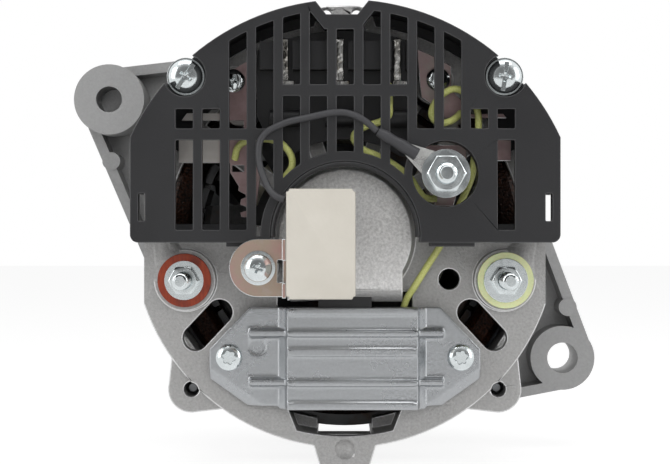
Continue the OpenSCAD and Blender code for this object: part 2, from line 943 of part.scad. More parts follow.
module capacitor_bracket() {
    foot_rear = pillar_y - sheet_t;
    notch_low = -13.5;
    notch_high = -7;
    color("#a5827a")
        difference() {
            union() {
                slab(pillar_y, foot_rear)
                    difference() {
                        union() {
                            translate(cap_screw) circle(cap_tab_r);
                            translate([cap_screw_x, cap_screw_z - cap_tab_r])
                                square([cap_x0 - cap_screw_x, 2 * cap_tab_r]);
                        }
                        translate([cap_leg_x - 1.6, notch_low])
                            square([4, notch_high - notch_low]);
                    }
                translate([cap_leg_x, cap_rear + 1, cap_screw_z - cap_tab_r])
                    cube([sheet_t, pillar_y - cap_rear - 1, 2 * cap_tab_r]);
            }
            rod(cap_screw, m5_r + 0.2, pillar_y + 1, foot_rear - 1);
            translate([cap_leg_x - 1, cap_rear, notch_low])
                cube([sheet_t + 2, pillar_y - cap_rear - 4, notch_high - notch_low]);
            translate([cap_x0, cap_rear - 1, cap_screw_z - cap_tab_r - 1])
                cube([10, pillar_y - cap_rear + 3, 2 * cap_tab_r + 2]);
        }
}

module capacitor_screw() {
    color("#c9ced2") {
        rod(cap_screw, m5_pitch_r, pillar_y - sheet_t, pillar_y + 10);
        translate([cap_screw_x, pillar_y - sheet_t, cap_screw_z])
            rotate([90, 0, 0])
                pan_head(5.1, 3);
    }
}

// Route of the capacitor's lead, from its left side over the grille
lead_route = [[-17.5, -150, 10.5], [-20, -149.5, 11.5], [-23, -147, 15.5], [-25.2, -144, 25],
    [-24, -143.4, 29], [-19, -143.2, 32.3], [-10.3, -143.2, 34.6], [-1.5, -143.2, 36],
    [2, -143.2, 35.4], [5.7, -143.2, 33.5], [9.2, -143.2, 30.6]];
sleeve_route = [[9.5, -143.2, 30.4], [11.9, -143.2, 29], [14.3, -143.2, 27.6], [16.6, -143.1, 26.3]];

module capacitor_lead() {
    color("#4b4b4e")
        wire(route(lead_route, 5), lead_d / 2, [0, 1, 0]);
}

module lead_sleeve() {
    color("#3c3c3f")
        wire(route(sleeve_route, 3), sleeve_d / 2, [0, 1, 0], 12);
}

module ring_terminal() {
    barrel = [18.7, 25.05];
    color("#b9bcc0")
        slab(output_seat, output_seat - terminal_t)
            difference() {
                link(output_c, 5.4, barrel, 1.9);
                translate(output_c) circle(m6_r + 0.3);
            }
}

module stud(place, r, pitch_r, head_r, y_head, y_nut, y_tip) {
    color("#c9ced2") {
        rod(place, head_r, y_head + 2.5, y_head);
        rod(place, pitch_r, y_head, y_nut);
        rod(place, r, y_nut, y_tip);
    }
}

module flange_nut(place, af, flange_r, bore_r, y_seat, h) {
    color("#d4d9dd")
        difference() {
            union() {
                rod(place, flange_r, y_seat, y_seat - 1.2);
                slab(y_seat, y_seat - h)
                    translate(place)
                        circle(af / 2 / cos(30), $fn = 6);
            }
            rod(place, bore_r, y_seat + 1, y_seat - h - 1);
        }
}

module output_stud() {
    stud(output_c, m6_r, m6_pitch_r, 5, sink_front, output_nut_rear,
        output_nut_rear - output_stud_free);
}

module output_spacer() {
    color("#b9bcc0")
        collar(output_c, 5.2, m6_r + 0.1, sink_rear, output_seat);
}

module output_nut() {
    flange_nut(output_c, 10, 7.1, m6_pitch_r + fit, output_seat - terminal_t, output_nut_h);
}

module exciter_insulator() {
    place = [-small_term_x, small_term_z];
    color("#8c2d14") {
        collar(place, 8.1, m5_pitch_r + 0.2, term_seat, term_seat - insulator_t);
        collar(place, term_bore - 0.1, m5_pitch_r + 0.2, y_rear + plate_t, term_seat);
    }
}

module exciter_stud() {
    stud([-small_term_x, small_term_z], m5_r, m5_pitch_r, 4, stud_head_y - 3,
        exciter_nut_rear, exciter_nut_rear - small_stud_free);
}

module exciter_nut() {
    flange_nut([-small_term_x, small_term_z], 8, 5.9, m5_pitch_r + fit,
        term_seat - insulator_t, small_nut_h);
}

module phase_insulator() {
    place = [small_term_x, small_term_z];
    color("#cdd2a0") {
        collar(place, 8.5, m5_pitch_r + 0.2, term_seat, term_seat - insulator_t);
        collar(place, term_bore - 0.1, m5_pitch_r + 0.2, y_rear + plate_t, term_seat);
    }
}

module phase_washer() {
    color("#c9ced2")
        collar([small_term_x, small_term_z], 6.7, m5_r + 0.2,
            term_seat - insulator_t, term_seat - insulator_t - washer_t);
}

module phase_stud() {
    stud([small_term_x, small_term_z], m5_r, m5_pitch_r, 4, stud_head_y - 3,
        phase_nut_rear, phase_nut_rear - small_stud_free);
}

module phase_nut() {
    place = [small_term_x, small_term_z];
    color("#d4d9dd")
        slab(term_seat - insulator_t - washer_t, phase_nut_rear)
            translate(place)
                difference() {
                    circle(4 / cos(30), $fn = 6);
                    circle(m5_pitch_r + fit);
                }
}

module sink_ring() {
    intersection() {
        difference() {
            circle(sink_r, $fn = 96);
            circle(27);
        }
        children();
    }
}

// Right heat sink: forked upper end, strip behind the small windows and the
// block that holds the output stud
module positive_heat_sink() {
    fork = [[21.4, 57.6], [22.6, 59.9], [23.6, 59.9], [25.2, 54.7], [26.6, 58.2], [28.4, 58.2], [28.9, 56.4],
        [31, 56.4], [31.8, 54], [31.8, 43.7], [35, 40.7], [35, 36.7]];
    strip = [[sink_x, 36.7], [sink_x, 35.3], [37.3, 35.3], [37.3, 32.4], [sink_x, 32.4], [sink_x, 22.5],
        [39.6, 22.5], [39.6, 28.9], [36.4, 28.9]];
    block = [[36.4, 18.5], [33.7, 13.2], [32.4, 9], [27, 9], [26, 12], [23.8, 15], [23.8, 27.3], [34.8, 27.3],
        [34.8, 28.9], [26.6, 28.9], [26.6, 32.4], [34.8, 32.4], [34.8, 35.3], [28.4, 35.3], [26.4, 39.2],
        [22.8, 41.6]];
    color("#aa9191")
        difference() {
            slab(sink_front, sink_rear)
                difference() {
                    sink_ring() polygon(concat(fork, strip, block));
                    translate(right_screw) circle(m4_r + 0.3);
                }
            rod(output_c, m6_pitch_r + fit, sink_front + 1, sink_rear - 1);
        }
}

// Left heat sink: forked upper end, strip, and a band with teeth towards the hub
module negative_heat_sink() {
    fork = [[-35.8, 36.8], [-35.8, 53.9], [-33.7, 53.9], [-32.6, 51.6], [-31.6, 55.9], [-30.2, 55.9],
        [-28.3, 50], [-28.3, 34.6], [-28.3, 32.2], [-25.4, 32.2]];
    teeth = [[-25.4, 18], [-26.9, 7], [-27.6, 5.6], [-31, 5.7], [-31.4, 7], [-29.6, 7.6], [-29.6, 8.8],
        [-31.4, 9.4], [-31.2, 11], [-29.6, 11.6], [-29.8, 12.4], [-32, 13.6], [-31.8, 14.8], [-34.4, 19]];
    band = [[-34.4, 21.9], [-sink_x, 21.9], [-sink_x, 32.2], [-30.4, 32.2], [-30.4, 34.6], [-sink_x, 34.6],
        [-sink_x, 36.8]];
    color("#aa9191")
        slab(sink_front, sink_rear)
            difference() {
                sink_ring() polygon(concat(fork, teeth, band));
                translate(left_screw) circle(m4_r + 0.3);
                translate([-33.8, 19.2]) square([3.6, 2]);
            }
}

module power_diodes() {
    color("#b8b8b8")
        for (p = [[-45, 27.2], [-35.4, 27.2], [-31.7, 37.1], [44.6, 27.4], [33.2, 37.4], [30.8, 30.8]]) {
            rod(p, diode_r, sink_front, sink_front + diode_h);
            rod(p, 0.7, sink_front + diode_h, sink_front + diode_h + 2);
        }
}

lead_x = [-18, -1.5, 15.6];

module rectifier_board() {
    board_t = 2.4;
    color("#222224")
        difference() {
            union() {
                slab(sink_front - 0.5, sink_front - 0.5 - board_t)
                    intersection() {
                        difference() {
                            circle(sink_r + 1.5, $fn = 96);
                            circle(29);
                        }
                        polygon([[-26.4, 36], [-26.4, 62], [20.3, 62], [20.3, 45], [20.3, 36],
                            [20.3, 24], [-21, 24]]);
                    }
                for (b = [[-25.4, 5.6], [-15.6, 12.4], [0.9, 13], [18, 3.4]])
                    translate([b[0], sink_rear - 7, 49.4])
                        cube([b[1], 8, 8.5]);
                for (p = board_posts)
                    rod(p, 3, y_rear, sink_front);
            }
            for (x = lead_x)
                rod([x, 42.8], 1, y_rear, y_cover);
        }
}

module exciter_diodes() {
    color("#2b2b2d")
        for (x = lead_x) {
            translate([x - 4.5, sink_rear - 3.4, 35])
                rotate([90, 0, 90])
                    cylinder(r = 2.6, h = 9);
        }
}

module phase_leads() {
    color("#cfcfca")
        for (x = lead_x) {
            translate([x - 1.1, sink_rear - 3, 45.4])
                cube([2.2, 2.4, 13.5]);
            translate([x - 1.4, sink_rear - 3.6, 43.9])
                cube([4.2, 3.6, 2.4]);
            rod([x, 42.8], 0.9, sink_rear - 3.2, sink_front + 2);
        }
}

module rectifier_screws() {
    color("#c9ced2")
        for (p = rect_screws) {
            rod(p, m4_r, sink_rear, y_rear + 1);
            translate([p[0], sink_rear, p[1]])
                rotate([90, 0, 0])
                    pan_head(pan_r, 2.6);
        }
}

// From the right heat sink in a loop over it, down past the output stud and
// along the hub into the regulator
regulator_lead_route = [[34.3, -125.3, 36.6], [33.2, -128.2, 35.4], [31, -129.8, 34], [28.2, -129.9, 33.6],
    [26, -129.3, 35.2], [25.9, -129, 37.8], [27.6, -129, 40.7], [30, -129, 42.8], [33, -129, 43.7],
    [36.4, -129, 41.8], [38.9, -129, 38.5], [39.7, -129, 33], [39, -128.6, 27], [38.3, -127.6, 22],
    [37.9, -126, 18], [36.5, -124, 14], [34.6, -122, 9.8], [32, -120, 4], [29, -118.5, -2.5], [25, -117, -9],
    [21, -116, -15.5], [18.6, -114.5, -19.5], [17.6, -111.7, -23.5], [16.6, -110.4, -26.4], [14.5, -110, -27.4]];

module regulator_lead() {
    color("#bec36e")
        wire(route(regulator_lead_route, 2), 1.05, [0, 1, 0.1]);
}

left_lead_route = [[-33, -125.3, 23], [-31.5, -127.5, 27], [-27, -128.6, 28.6], [-21, -129, 28.4],
    [-17, -129, 25.5], [-15.7, -129, 21.5], [-17.5, -128.5, 18], [-20, -128, 15.5]];
middle_lead_route = [[13.1, -126.6, 44.9], [13.1, -129.6, 43], [13.1, -131.4, 39], [12.8, -131.4, 35.6],
    [10.4, -131.4, 33.9], [5.9, -131.4, 32.4], [2.6, -131.4, 29.4], [4.4, -131, 26.4], [9.6, -130, 23.8],
    [14.8, -129.4, 21], [19.6, -128.4, 17], [22, -127, 13.4], [24, -125.8, 11.4], [27.4, -125.3, 11.2]];

module rectifier_leads() {
    color("#bec36e") {
        wire(route(left_lead_route, 3), 1.05, [0, 1, 0.1]);
        wire(route(middle_lead_route, 3), 1.05, [0, 1, 0.1]);
    }
}

module stator_slots() {
    for (i = [0 : slot_count - 1])
        rotate(360 * i / slot_count) {
            translate([stator_bore / 2 + 2, -slot_w / 2])
                square([slot_depth, slot_w]);
            translate([stator_bore / 2 - 1, -slot_mouth / 2])
                square([4, slot_mouth]);
        }
}

module stator_core() {
    color("#6e6a66")
        slab(y_core_front, y_core_rear)
            difference() {
                circle(core_r, $fn = 96);
                circle(stator_bore / 2, $fn = 96);
                stator_slots();
            }
}

module stator_winding() {
    lay = 0.2;
    r0 = stator_bore / 2 + 2 + lay;
    r1 = r0 + slot_depth - 2 * lay;
    color("#8a4b26")
        union() {
            slab(y_core_front + 1, y_core_rear - 1)
                for (i = [0 : slot_count - 1])
                    rotate(360 * i / slot_count)
                        translate([r0, -slot_w / 2 + lay])
                            square([r1 - r0, slot_w - 2 * lay]);
            for (s = [[y_core_front + loose, 1], [y_core_rear - loose, -1]])
                turned()
                    polygon([[r0, s[0]], [r1, s[0]], [r1, s[0] + s[1] * (end_turn - 2)],
                        [r1 - 2, s[0] + s[1] * end_turn], [r0 + 2, s[0] + s[1] * end_turn],
                        [r0, s[0] + s[1] * (end_turn - 2)]]);
        }
}

module through_bolts() {
    head_y = y_front - plate_t;
    color("#c9ced2")
        for (p = ear_places) {
            rod(p, m5_pitch_r, head_y, bolt_tip);
            slab(head_y, head_y + bolt_head_h)
                translate(p)
                    circle(bolt_head_af / 2 / cos(30), $fn = 6);
        }
}

pivot_c = [pivot_x, pivot_z];
adjust_c = [adjust_x, adjust_z];
arm_front = y_front;
arm_rear = y_front - arm_depth;

// Arm from a lug to the body, its inside left open by cut
module arm(c, r, cut) {
    inset = 0.3;
    difference() {
        link(c, r - inset, [0, 0], body_r - inset);
        circle(wall_in + 1, $fn = 96);
        if (cut)
            link(c, r - arm_wall, [0, 0], body_r - arm_wall);
    }
}

module front_bracket() {
    vent_count = 10;
    seat_r = core_r + fit;
    pivot_front = y_front + pivot_reach;
    adjust_rear = y_front - adjust_back;
    boss_out = fb_out + bearing_boss_wall;
    color("#949494")
        difference() {
            union() {
                slab(y_front, y_front - plate_t)
                    circle(body_r, $fn = 96);
                slab(y_front - 1, y_core_front - rim_lap)
                    difference() {
                        circle(body_r, $fn = 96);
                        circle(wall_in, $fn = 96);
                    }
                slab(y_front - plate_t, y_core_front - rim_lap)
                    difference() {
                        ears();
                        circle(wall_in, $fn = 96);
                    }
                slab(y_core_front + 8, y_core_front - rim_lap)
                    difference() {
                        tongues();
                        circle(wall_in, $fn = 96);
                    }
                rod([0, 0], boss_out, y_front - 1, fb_rear);
                slab(arm_front, arm_front - arm_floor) {
                    arm(pivot_c, pivot_r, false);
                    arm(adjust_c, adjust_r, false);
                }
                slab(arm_front - 1, arm_rear) {
                    arm(pivot_c, pivot_r, true);
                    arm(adjust_c, adjust_r, true);
                }
                rod(pivot_c, pivot_r, pivot_front, pivot_front - pivot_len);
                rod(adjust_c, adjust_r, adjust_rear + adjust_len, adjust_rear);
                for (s = [-1, 1])
                    rod([0, s * (tongue_r - 3.7)], 3.9, y_core_front - rim_lap, y_core_front + 4);
                for (p = [[-77.8, 24.9], [74.8, -23.9]])
                    rod(p, 3, arm_front, arm_rear - 0.6);
            }
            rod(pivot_c, pivot_bore_r, pivot_front + 1, pivot_front - pivot_len - 1);
            rod(adjust_c, adjust_hole_r, adjust_rear + adjust_depth, adjust_rear - 1);
            // Seat of the laminated core
            rod([0, 0], seat_r, y_core_front, y_core_front - rim_lap - 1);
            // Bearing seat and shaft way
            rod([0, 0], fb_out + fit, fb_front, fb_rear - 1);
            rod([0, 0], shaft_way_r, y_front + 1, fb_front - 1);
            // Air vents in the end plate
            slab(y_front + 1, y_front - plate_t - 1)
                for (i = [0 : vent_count - 1])
                    rotate(360 * (i + 0.5) / vent_count)
                        link([34.5, 0], 4, [48, 0], 6.5);
            // Sight gap past the core at the bottom
            translate([-sight_w, y_core_front - rim_lap - 1, -65])
                cube([2 * sight_w, front_len - plate_t + rim_lap + 1, 12]);
            for (p = ear_places) {
                rod(p, m5_r + 0.25, y_front + 1, y_core_front - rim_lap - 1);
                rod(p, ear_r - 1, y_front + 1, y_front - plate_t);
            }
            for (i = [0 : 2])
                rod(spot([0, 0], fb_out + 2.2, 90 + 120 * i), 1.6, fb_rear - 1, fb_rear + 8);
        }
}

module race(bore, out, groove_r, ball_r, mid_y, w, inner) {
    shoulder = ball_r * 0.45;
    color("#b0b4b8")
        turned()
            difference() {
                if (inner)
                    translate([bore, mid_y - w / 2]) square([groove_r - shoulder - bore, w]);
                else
                    translate([groove_r + shoulder, mid_y - w / 2])
                        square([out - groove_r - shoulder, w]);
                translate([groove_r, mid_y]) circle(ball_r + 0.12);
            }
}

module ball_cage(groove_r, ball_r, mid_y, n) {
    near = ball_r - 0.5;
    color("#c2c6ca")
        translate([0, mid_y, 0])
            rotate([-90, 0, 0]) {
                for (s = [-1, 1])
                    rotate_extrude()
                        translate([groove_r - 0.8, s * (near + 0.5) - 0.5])
                            square([1.6, 1]);
                for (i = [0 : n - 1])
                    rotate(360 * i / n)
                        translate([groove_r, 0, 0]) sphere(ball_r);
            }
}

fb_mid = fb_front - fb_w / 2;
fb_ball = 4.2;
fb_groove = (fb_bore + fb_out) / 2;
rb_mid = rb_rear + rb_w / 2;
rb_ball = 3;
rb_groove = (rb_bore + rb_out) / 2;

module front_bearing_outer() { race(fb_bore, fb_out, fb_groove, fb_ball, fb_mid, fb_w, false); }
module front_bearing_inner() { race(fb_bore + fit, fb_out, fb_groove, fb_ball, fb_mid, fb_w, true); }
module front_bearing_balls() { ball_cage(fb_groove, fb_ball, fb_mid, 7); }
module rear_bearing_outer() { race(rb_bore, rb_out, rb_groove, rb_ball, rb_mid, rb_w, false); }
module rear_bearing_inner() { race(rb_bore + fit, rb_out, rb_groove, rb_ball, rb_mid, rb_w, true); }
module rear_bearing_balls() { ball_cage(rb_groove, rb_ball, rb_mid, 8); }

retainer_t = 2;

module bearing_retainer() {
    color("#9fa3a6")
        slab(fb_rear, fb_rear - retainer_t)
            difference() {
                circle(fb_out + bearing_boss_wall);
                circle(fb_out - 4);
                for (i = [0 : 2])
                    translate(spot([0, 0], fb_out + 2.2, 90 + 120 * i)) circle(1.7);
            }
}

module retainer_screws() {
    color("#c9ced2")
        for (i = [0 : 2])
            let (p = spot([0, 0], fb_out + 2.2, 90 + 120 * i)) {
                rod(p, 1.5, fb_rear - retainer_t, fb_rear + 6);
                translate([p[0], fb_rear - retainer_t, p[1]])
                    rotate([90, 0, 0])
                        pan_head(2.8, 1.8);
            }
}

spacer_r = 12;
shaft_way_r = spacer_r + 1;
claw_front = y_core_mid + claw_len / 2;
claw_rear = y_core_mid - claw_len / 2;
ring_seat_r = 5;

module rotor_shaft() {
    color("#a8acb0")
        turned()
            polygon([[0, shaft_tip], [7, shaft_tip], [8, shaft_tip - 1], [8, web_front - 0.2],
                [fb_bore, web_front - 0.2], [fb_bore, fb_rear], [shaft_mid_r, fb_rear],
                [shaft_mid_r, rb_front], [rb_bore, rb_front], [rb_bore, rb_rear - 0.5],
                [ring_seat_r, rb_rear - 0.5], [ring_seat_r, slot_rear + 0.8], [0, slot_rear + 0.8]]);
}

// One half of the claw-pole rotor; the disc is at y0 and the fingers point to y1
module claw(y0, y1, turn) {
    s = sign(y1 - y0);
    web_r = 29;
    thin = 3.6;
    inner_r0 = claw_r - 9.5;
    color("#5d5b5a")
        rotate([0, turn, 0])
            difference() {
                union() {
                    rod([0, 0], web_r, y0, y0 + s * claw_disc);
                    intersection() {
                        turned()
                            polygon([[0, y0], [claw_r - 2, y0], [claw_r, y0 + s * 2], [claw_r, y1 - s * 1],
                                [claw_r - 1, y1], [claw_r - thin, y1], [inner_r0, y0 + s * claw_disc],
                                [0, y0 + s * claw_disc]]);
                        union()
                            for (i = [0 : finger_count - 1])
                                rotate([0, 360 * i / finger_count, 0])
                                    linear_extrude(2 * claw_r)
                                        polygon([[-finger_root, y0], [finger_root, y0],
                                            [finger_tip, y1], [-finger_tip, y1]]);
                    }
                }
                rod([0, 0], shaft_mid_r + fit, claw_front + 1, claw_rear - 1);
            }
}

pole_core_r = 16;
coil_front = claw_front - claw_disc;
coil_rear = claw_rear + claw_disc;

module front_pole_claw() { claw(claw_front, claw_rear + 1, 0); }
module rear_pole_claw() { claw(claw_rear, claw_front - 1, 180 / finger_count); }

module coil_bobbin() {
    flange = 1;
    out = claw_r - 11;
    color("#d8d2c0")
        turned()
            difference() {
                translate([shaft_mid_r + fit, coil_rear + fit])
                    square([out - shaft_mid_r - fit, coil_front - coil_rear - 2 * fit]);
                translate([pole_core_r + 1, coil_rear + flange])
                    square([out, coil_front - coil_rear - 2 * flange]);
            }
}

module field_coil() {
    color("#7c3f1e")
        turned()
            translate([pole_core_r + 1 + fit, coil_rear + 1.1])
                square([claw_r - 11.5 - pole_core_r - 1, coil_front - coil_rear - 2.2]);
}

module slip_rings() {
    color("#b87333")
        for (y = [ring_near, ring_far])
            collar([0, 0], ring_r, ring_seat_r + 0.9, y - ring_w / 2, y + ring_w / 2);
}

module slip_ring_insulator() {
    gap = 0.1;
    color("#2a2622")
        turned()
            difference() {
                translate([ring_seat_r + fit, slot_rear + 1])
                    square([ring_r - 0.3 - ring_seat_r, rb_rear - 1 - slot_rear - 1]);
                for (y = [ring_near, ring_far])
                    translate([ring_seat_r + 0.9 - fit, y - ring_w / 2 - gap])
                        square([ring_r, ring_w + 2 * gap]);
            }
}

module fan() {
    blade_root = 33;
    blade_tilt = 25;
    color("#8f9396")
        difference() {
            union() {
                slab(y_fan, y_fan - fan_t)
                    difference() {
                        circle(fan_r, $fn = 96);
                        for (i = [0 : blade_count - 1])
                            rotate(360 * i / blade_count)
                                translate([blade_root, 1.4])
                                    rotate(-blade_tilt)
                                        square([fan_r, 8]);
                    }
                slab(y_fan - fan_t + 0.1, y_fan - fan_depth)
                    intersection() {
                        circle(fan_r, $fn = 96);
                        for (i = [0 : blade_count - 1])
                            rotate(360 * i / blade_count)
                                translate([blade_root, 1.4])
                                    rotate(-blade_tilt)
                                        translate([0, -fan_t])
                                            square([fan_r, fan_t]);
                    }
            }
            rod([0, 0], fb_bore + fit, y_fan + 1, y_fan - fan_depth);
        }
}

// Dished sheet, flat near the shaft and flared beside the belt; s is its side
module pulley_half(s) {
    color("#8b8e91")
        turned()
            polygon([[fb_bore + fit, s * 0.02], [pulley_root_r, s * 0.02], [pulley_r, s * groove_half],
                [pulley_r, s * (groove_half + pulley_t)],
                [pulley_root_r - 0.6, s * pulley_t], [fb_bore + fit, s * pulley_t]]);
}

module pulley_front_half() { pulley_half(1); }
module pulley_rear_half() { pulley_half(-1); }

module shaft_spacers() {
    color("#a8acb0") {
        collar([0, 0], spacer_r, fb_bore + fit, -pulley_t, y_fan);
        collar([0, 0], spacer_r, fb_bore + fit, y_fan - fan_t, fb_front);
    }
}

module lock_washer() {
    color("#777b7e")
        collar([0, 0], 12.5, 8.2, web_front, web_front + lock_t);
}

module pulley_nut() {
    seat = web_front + lock_t;
    color("#c9ced2")
        difference() {
            intersection() {
                slab(seat, seat + nut_h)
                    circle(nut_af / 2 / cos(30), $fn = 6);
                turned()
                    polygon([[0, seat], [nut_af / 2 / cos(30), seat], [nut_af / 2 / cos(30), seat + nut_h - 1.2],
                        [nut_af / 2, seat + nut_h], [0, seat + nut_h]]);
            }
            rod([0, 0], 8 + fit, seat - 1, seat + nut_h + 1);
        }
}

rear_cover();
cover_screws();
rear_bracket();
regulator_heatsink();
regulator_screws();
brush_holder();
brush_inner();
brush_outer();
brush_spring_inner();
brush_spring_outer();
capacitor_body();
capacitor_bracket();
capacitor_screw();
capacitor_lead();
lead_sleeve();
ring_terminal();
output_stud();
output_spacer();
output_nut();
exciter_insulator();
exciter_stud();
exciter_nut();
phase_insulator();
phase_washer();
phase_stud();
phase_nut();
positive_heat_sink();
negative_heat_sink();
power_diodes();
rectifier_board();
exciter_diodes();
phase_leads();
rectifier_screws();
regulator_lead();
rectifier_leads();
stator_core();
stator_winding();
through_bolts();
front_bracket();
front_bearing_outer();
front_bearing_balls();
front_bearing_inner();
bearing_retainer();
retainer_screws();
rear_bearing_outer();
rear_bearing_balls();
rear_bearing_inner();
rotor_shaft();
front_pole_claw();
rear_pole_claw();
field_coil();
coil_bobbin();
slip_rings();
slip_ring_insulator();
fan();
pulley_front_half();
pulley_rear_half();
shaft_spacers();
lock_washer();
pulley_nut();
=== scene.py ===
import math
import bpy
from mathutils import Matrix, Vector


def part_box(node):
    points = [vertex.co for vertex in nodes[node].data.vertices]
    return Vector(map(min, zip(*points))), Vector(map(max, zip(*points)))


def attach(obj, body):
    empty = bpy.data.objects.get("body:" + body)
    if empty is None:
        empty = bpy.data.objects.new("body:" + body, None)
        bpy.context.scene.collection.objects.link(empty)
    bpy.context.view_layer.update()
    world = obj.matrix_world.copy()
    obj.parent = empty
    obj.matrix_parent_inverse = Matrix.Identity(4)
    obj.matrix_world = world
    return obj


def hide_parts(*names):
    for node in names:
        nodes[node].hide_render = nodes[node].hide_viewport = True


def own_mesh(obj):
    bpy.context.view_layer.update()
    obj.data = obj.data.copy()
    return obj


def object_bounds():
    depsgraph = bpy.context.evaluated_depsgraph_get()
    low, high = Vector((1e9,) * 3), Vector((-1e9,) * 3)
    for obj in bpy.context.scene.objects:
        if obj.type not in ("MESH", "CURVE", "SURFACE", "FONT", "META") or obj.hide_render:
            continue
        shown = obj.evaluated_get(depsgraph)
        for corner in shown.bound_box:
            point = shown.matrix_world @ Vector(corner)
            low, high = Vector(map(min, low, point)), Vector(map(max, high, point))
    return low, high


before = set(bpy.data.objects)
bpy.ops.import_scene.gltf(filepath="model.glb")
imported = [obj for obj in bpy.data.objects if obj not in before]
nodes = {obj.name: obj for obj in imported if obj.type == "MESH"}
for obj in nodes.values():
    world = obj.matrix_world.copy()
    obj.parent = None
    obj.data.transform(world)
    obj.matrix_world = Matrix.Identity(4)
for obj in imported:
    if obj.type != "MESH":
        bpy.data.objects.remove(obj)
cad_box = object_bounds()
bpy.ops.object.select_all(action="DESELECT")
MM = 0.001


# Viewpoint
# The photograph looks along the rotor axis from behind the machine, level and
# almost central, from far enough away that the sides barely taper.
PHOTO_WIDTH = 670
PHOTO_FOCAL = 2230
EYE = (-0.003, -0.792, 0.0012)
camera_data = bpy.data.cameras.new("photo_camera")
camera_data.sensor_width = 36
camera_data.lens = PHOTO_FOCAL / PHOTO_WIDTH * camera_data.sensor_width
camera_data.clip_end = 20
camera = bpy.data.objects.new("photo_camera", camera_data)
camera.location = EYE
camera.rotation_euler = (math.radians(90), 0, 0)
bpy.context.scene.collection.objects.link(camera)
bpy.context.scene.camera = camera
bpy.context.scene.view_settings.view_transform = "Standard"


# Studio
# A white table top under the machine and an even white room around it, with
# large soft boxes above, left, right and in front.
def any_of(tree, names):
    """1 for rays of any of these kinds, else 0."""
    path = tree.nodes.new("ShaderNodeLightPath")
    found = path.outputs[names[0]]
    for name in names[1:]:
        either = tree.nodes.new("ShaderNodeMath")
        either.operation = "MAXIMUM"
        tree.links.new(found, either.inputs[0])
        tree.links.new(path.outputs[name], either.inputs[1])
        found = either.outputs[0]
    return found


def choose(tree, factor, first, second):
    """The first shader where factor is 0, the second where it is 1."""
    mix = tree.nodes.new("ShaderNodeMixShader")
    for socket, value in zip(mix.inputs, (factor, first, second)):
        tree.links.new(value, socket)
    return mix.outputs[0]


def glow(tree, kind, strength):
    lamp = tree.nodes.new(kind)
    lamp.inputs["Color"].default_value = (1, 1, 1, 1)
    lamp.inputs["Strength"].default_value = strength
    return lamp.outputs[0]


FLOOR_DROP = 0.0004
FLOOR_WHITE = (0.85, 0.85, 0.85, 1)
FLOOR_SHADE = (0.3, 0.3, 0.3, 1)
FLOOR_GLOW = 0.86
FLOOR_MIRRORED = 0.9
ROOM_LIGHT = 0.3
ROOM_MIRRORED = 1.0
FRONT_MIRRORED = 0.2
FRONT_ENDS = (("From Min", -0.92), ("From Max", -0.35))
bpy.ops.mesh.primitive_plane_add(size=8, location=(0, 0, cad_box[0][2] - FLOOR_DROP))
floor = bpy.context.object
floor.name = "table_top"
paper = bpy.data.materials.new("white_table")
paper.use_nodes = True
paper_tree = paper.node_tree
paper_tree.nodes["Principled BSDF"].inputs["Base Color"].default_value = FLOOR_WHITE
paper_tree.nodes["Principled BSDF"].inputs["Roughness"].default_value = 1
shaded = paper_tree.nodes["Principled BSDF"].outputs[0]
thin_shade = paper_tree.nodes.new("ShaderNodeBsdfDiffuse")
thin_shade.inputs["Color"].default_value = FLOOR_SHADE
lifted = paper_tree.nodes.new("ShaderNodeAddShader")
paper_tree.links.new(thin_shade.outputs[0], lifted.inputs[0])
paper_tree.links.new(glow(paper_tree, "ShaderNodeEmission", FLOOR_GLOW), lifted.inputs[1])
seen = choose(paper_tree, any_of(paper_tree, ["Is Camera Ray"]), shaded, lifted.outputs[0])
mirrored = any_of(paper_tree, ["Is Glossy Ray", "Is Transmission Ray"])
seen = choose(paper_tree, mirrored, seen, glow(paper_tree, "ShaderNodeEmission", FLOOR_MIRRORED))
paper_tree.links.new(seen, paper_tree.nodes["Material Output"].inputs["Surface"])
floor.data.materials.append(paper)

world = bpy.data.worlds.new("studio")
world.use_nodes = True
world_tree = world.node_tree
world_tree.nodes["Background"].inputs["Color"].default_value = (1, 1, 1, 1)
world_tree.nodes["Background"].inputs["Strength"].default_value = ROOM_LIGHT
white_room = glow(world_tree, "ShaderNodeBackground", ROOM_MIRRORED)
dim_front = glow(world_tree, "ShaderNodeBackground", FRONT_MIRRORED)
direction = world_tree.nodes.new("ShaderNodeTexCoord").outputs["Generated"]
split = world_tree.nodes.new("ShaderNodeSeparateXYZ")
world_tree.links.new(direction, split.inputs[0])
fade = world_tree.nodes.new("ShaderNodeMapRange")
fade.interpolation_type = "SMOOTHSTEP"
for name, value in FRONT_ENDS:
    fade.inputs[name].default_value = value
world_tree.links.new(split.outputs["Y"], fade.inputs["Value"])
mirrored_room = choose(world_tree, fade.outputs["Result"], dim_front, white_room)
in_metal = any_of(world_tree, ["Is Glossy Ray", "Is Transmission Ray"])
room = choose(world_tree, in_metal, world_tree.nodes["Background"].outputs[0], mirrored_room)
room = choose(world_tree, any_of(world_tree, ["Is Camera Ray"]), room, white_room)
world_tree.links.new(room, world_tree.nodes["World Output"].inputs["Surface"])
bpy.context.scene.world = world


BOXES_FACE = Vector((0, -0.08, 0))


def soft_box(name, place, width, height, watts, mirrored=True):
    """A rectangular lamp that faces the machine; mirrored says if metal shows it."""
    lamp = bpy.data.lights.new(name, "AREA")
    lamp.shape = "RECTANGLE"
    lamp.size = width
    lamp.size_y = height
    lamp.energy = watts
    box = bpy.data.objects.new(name, lamp)
    box.location = place
    box.rotation_euler = (BOXES_FACE - Vector(place)).to_track_quat("-Z", "Y").to_euler()
    box.visible_glossy = mirrored
    bpy.context.scene.collection.objects.link(box)


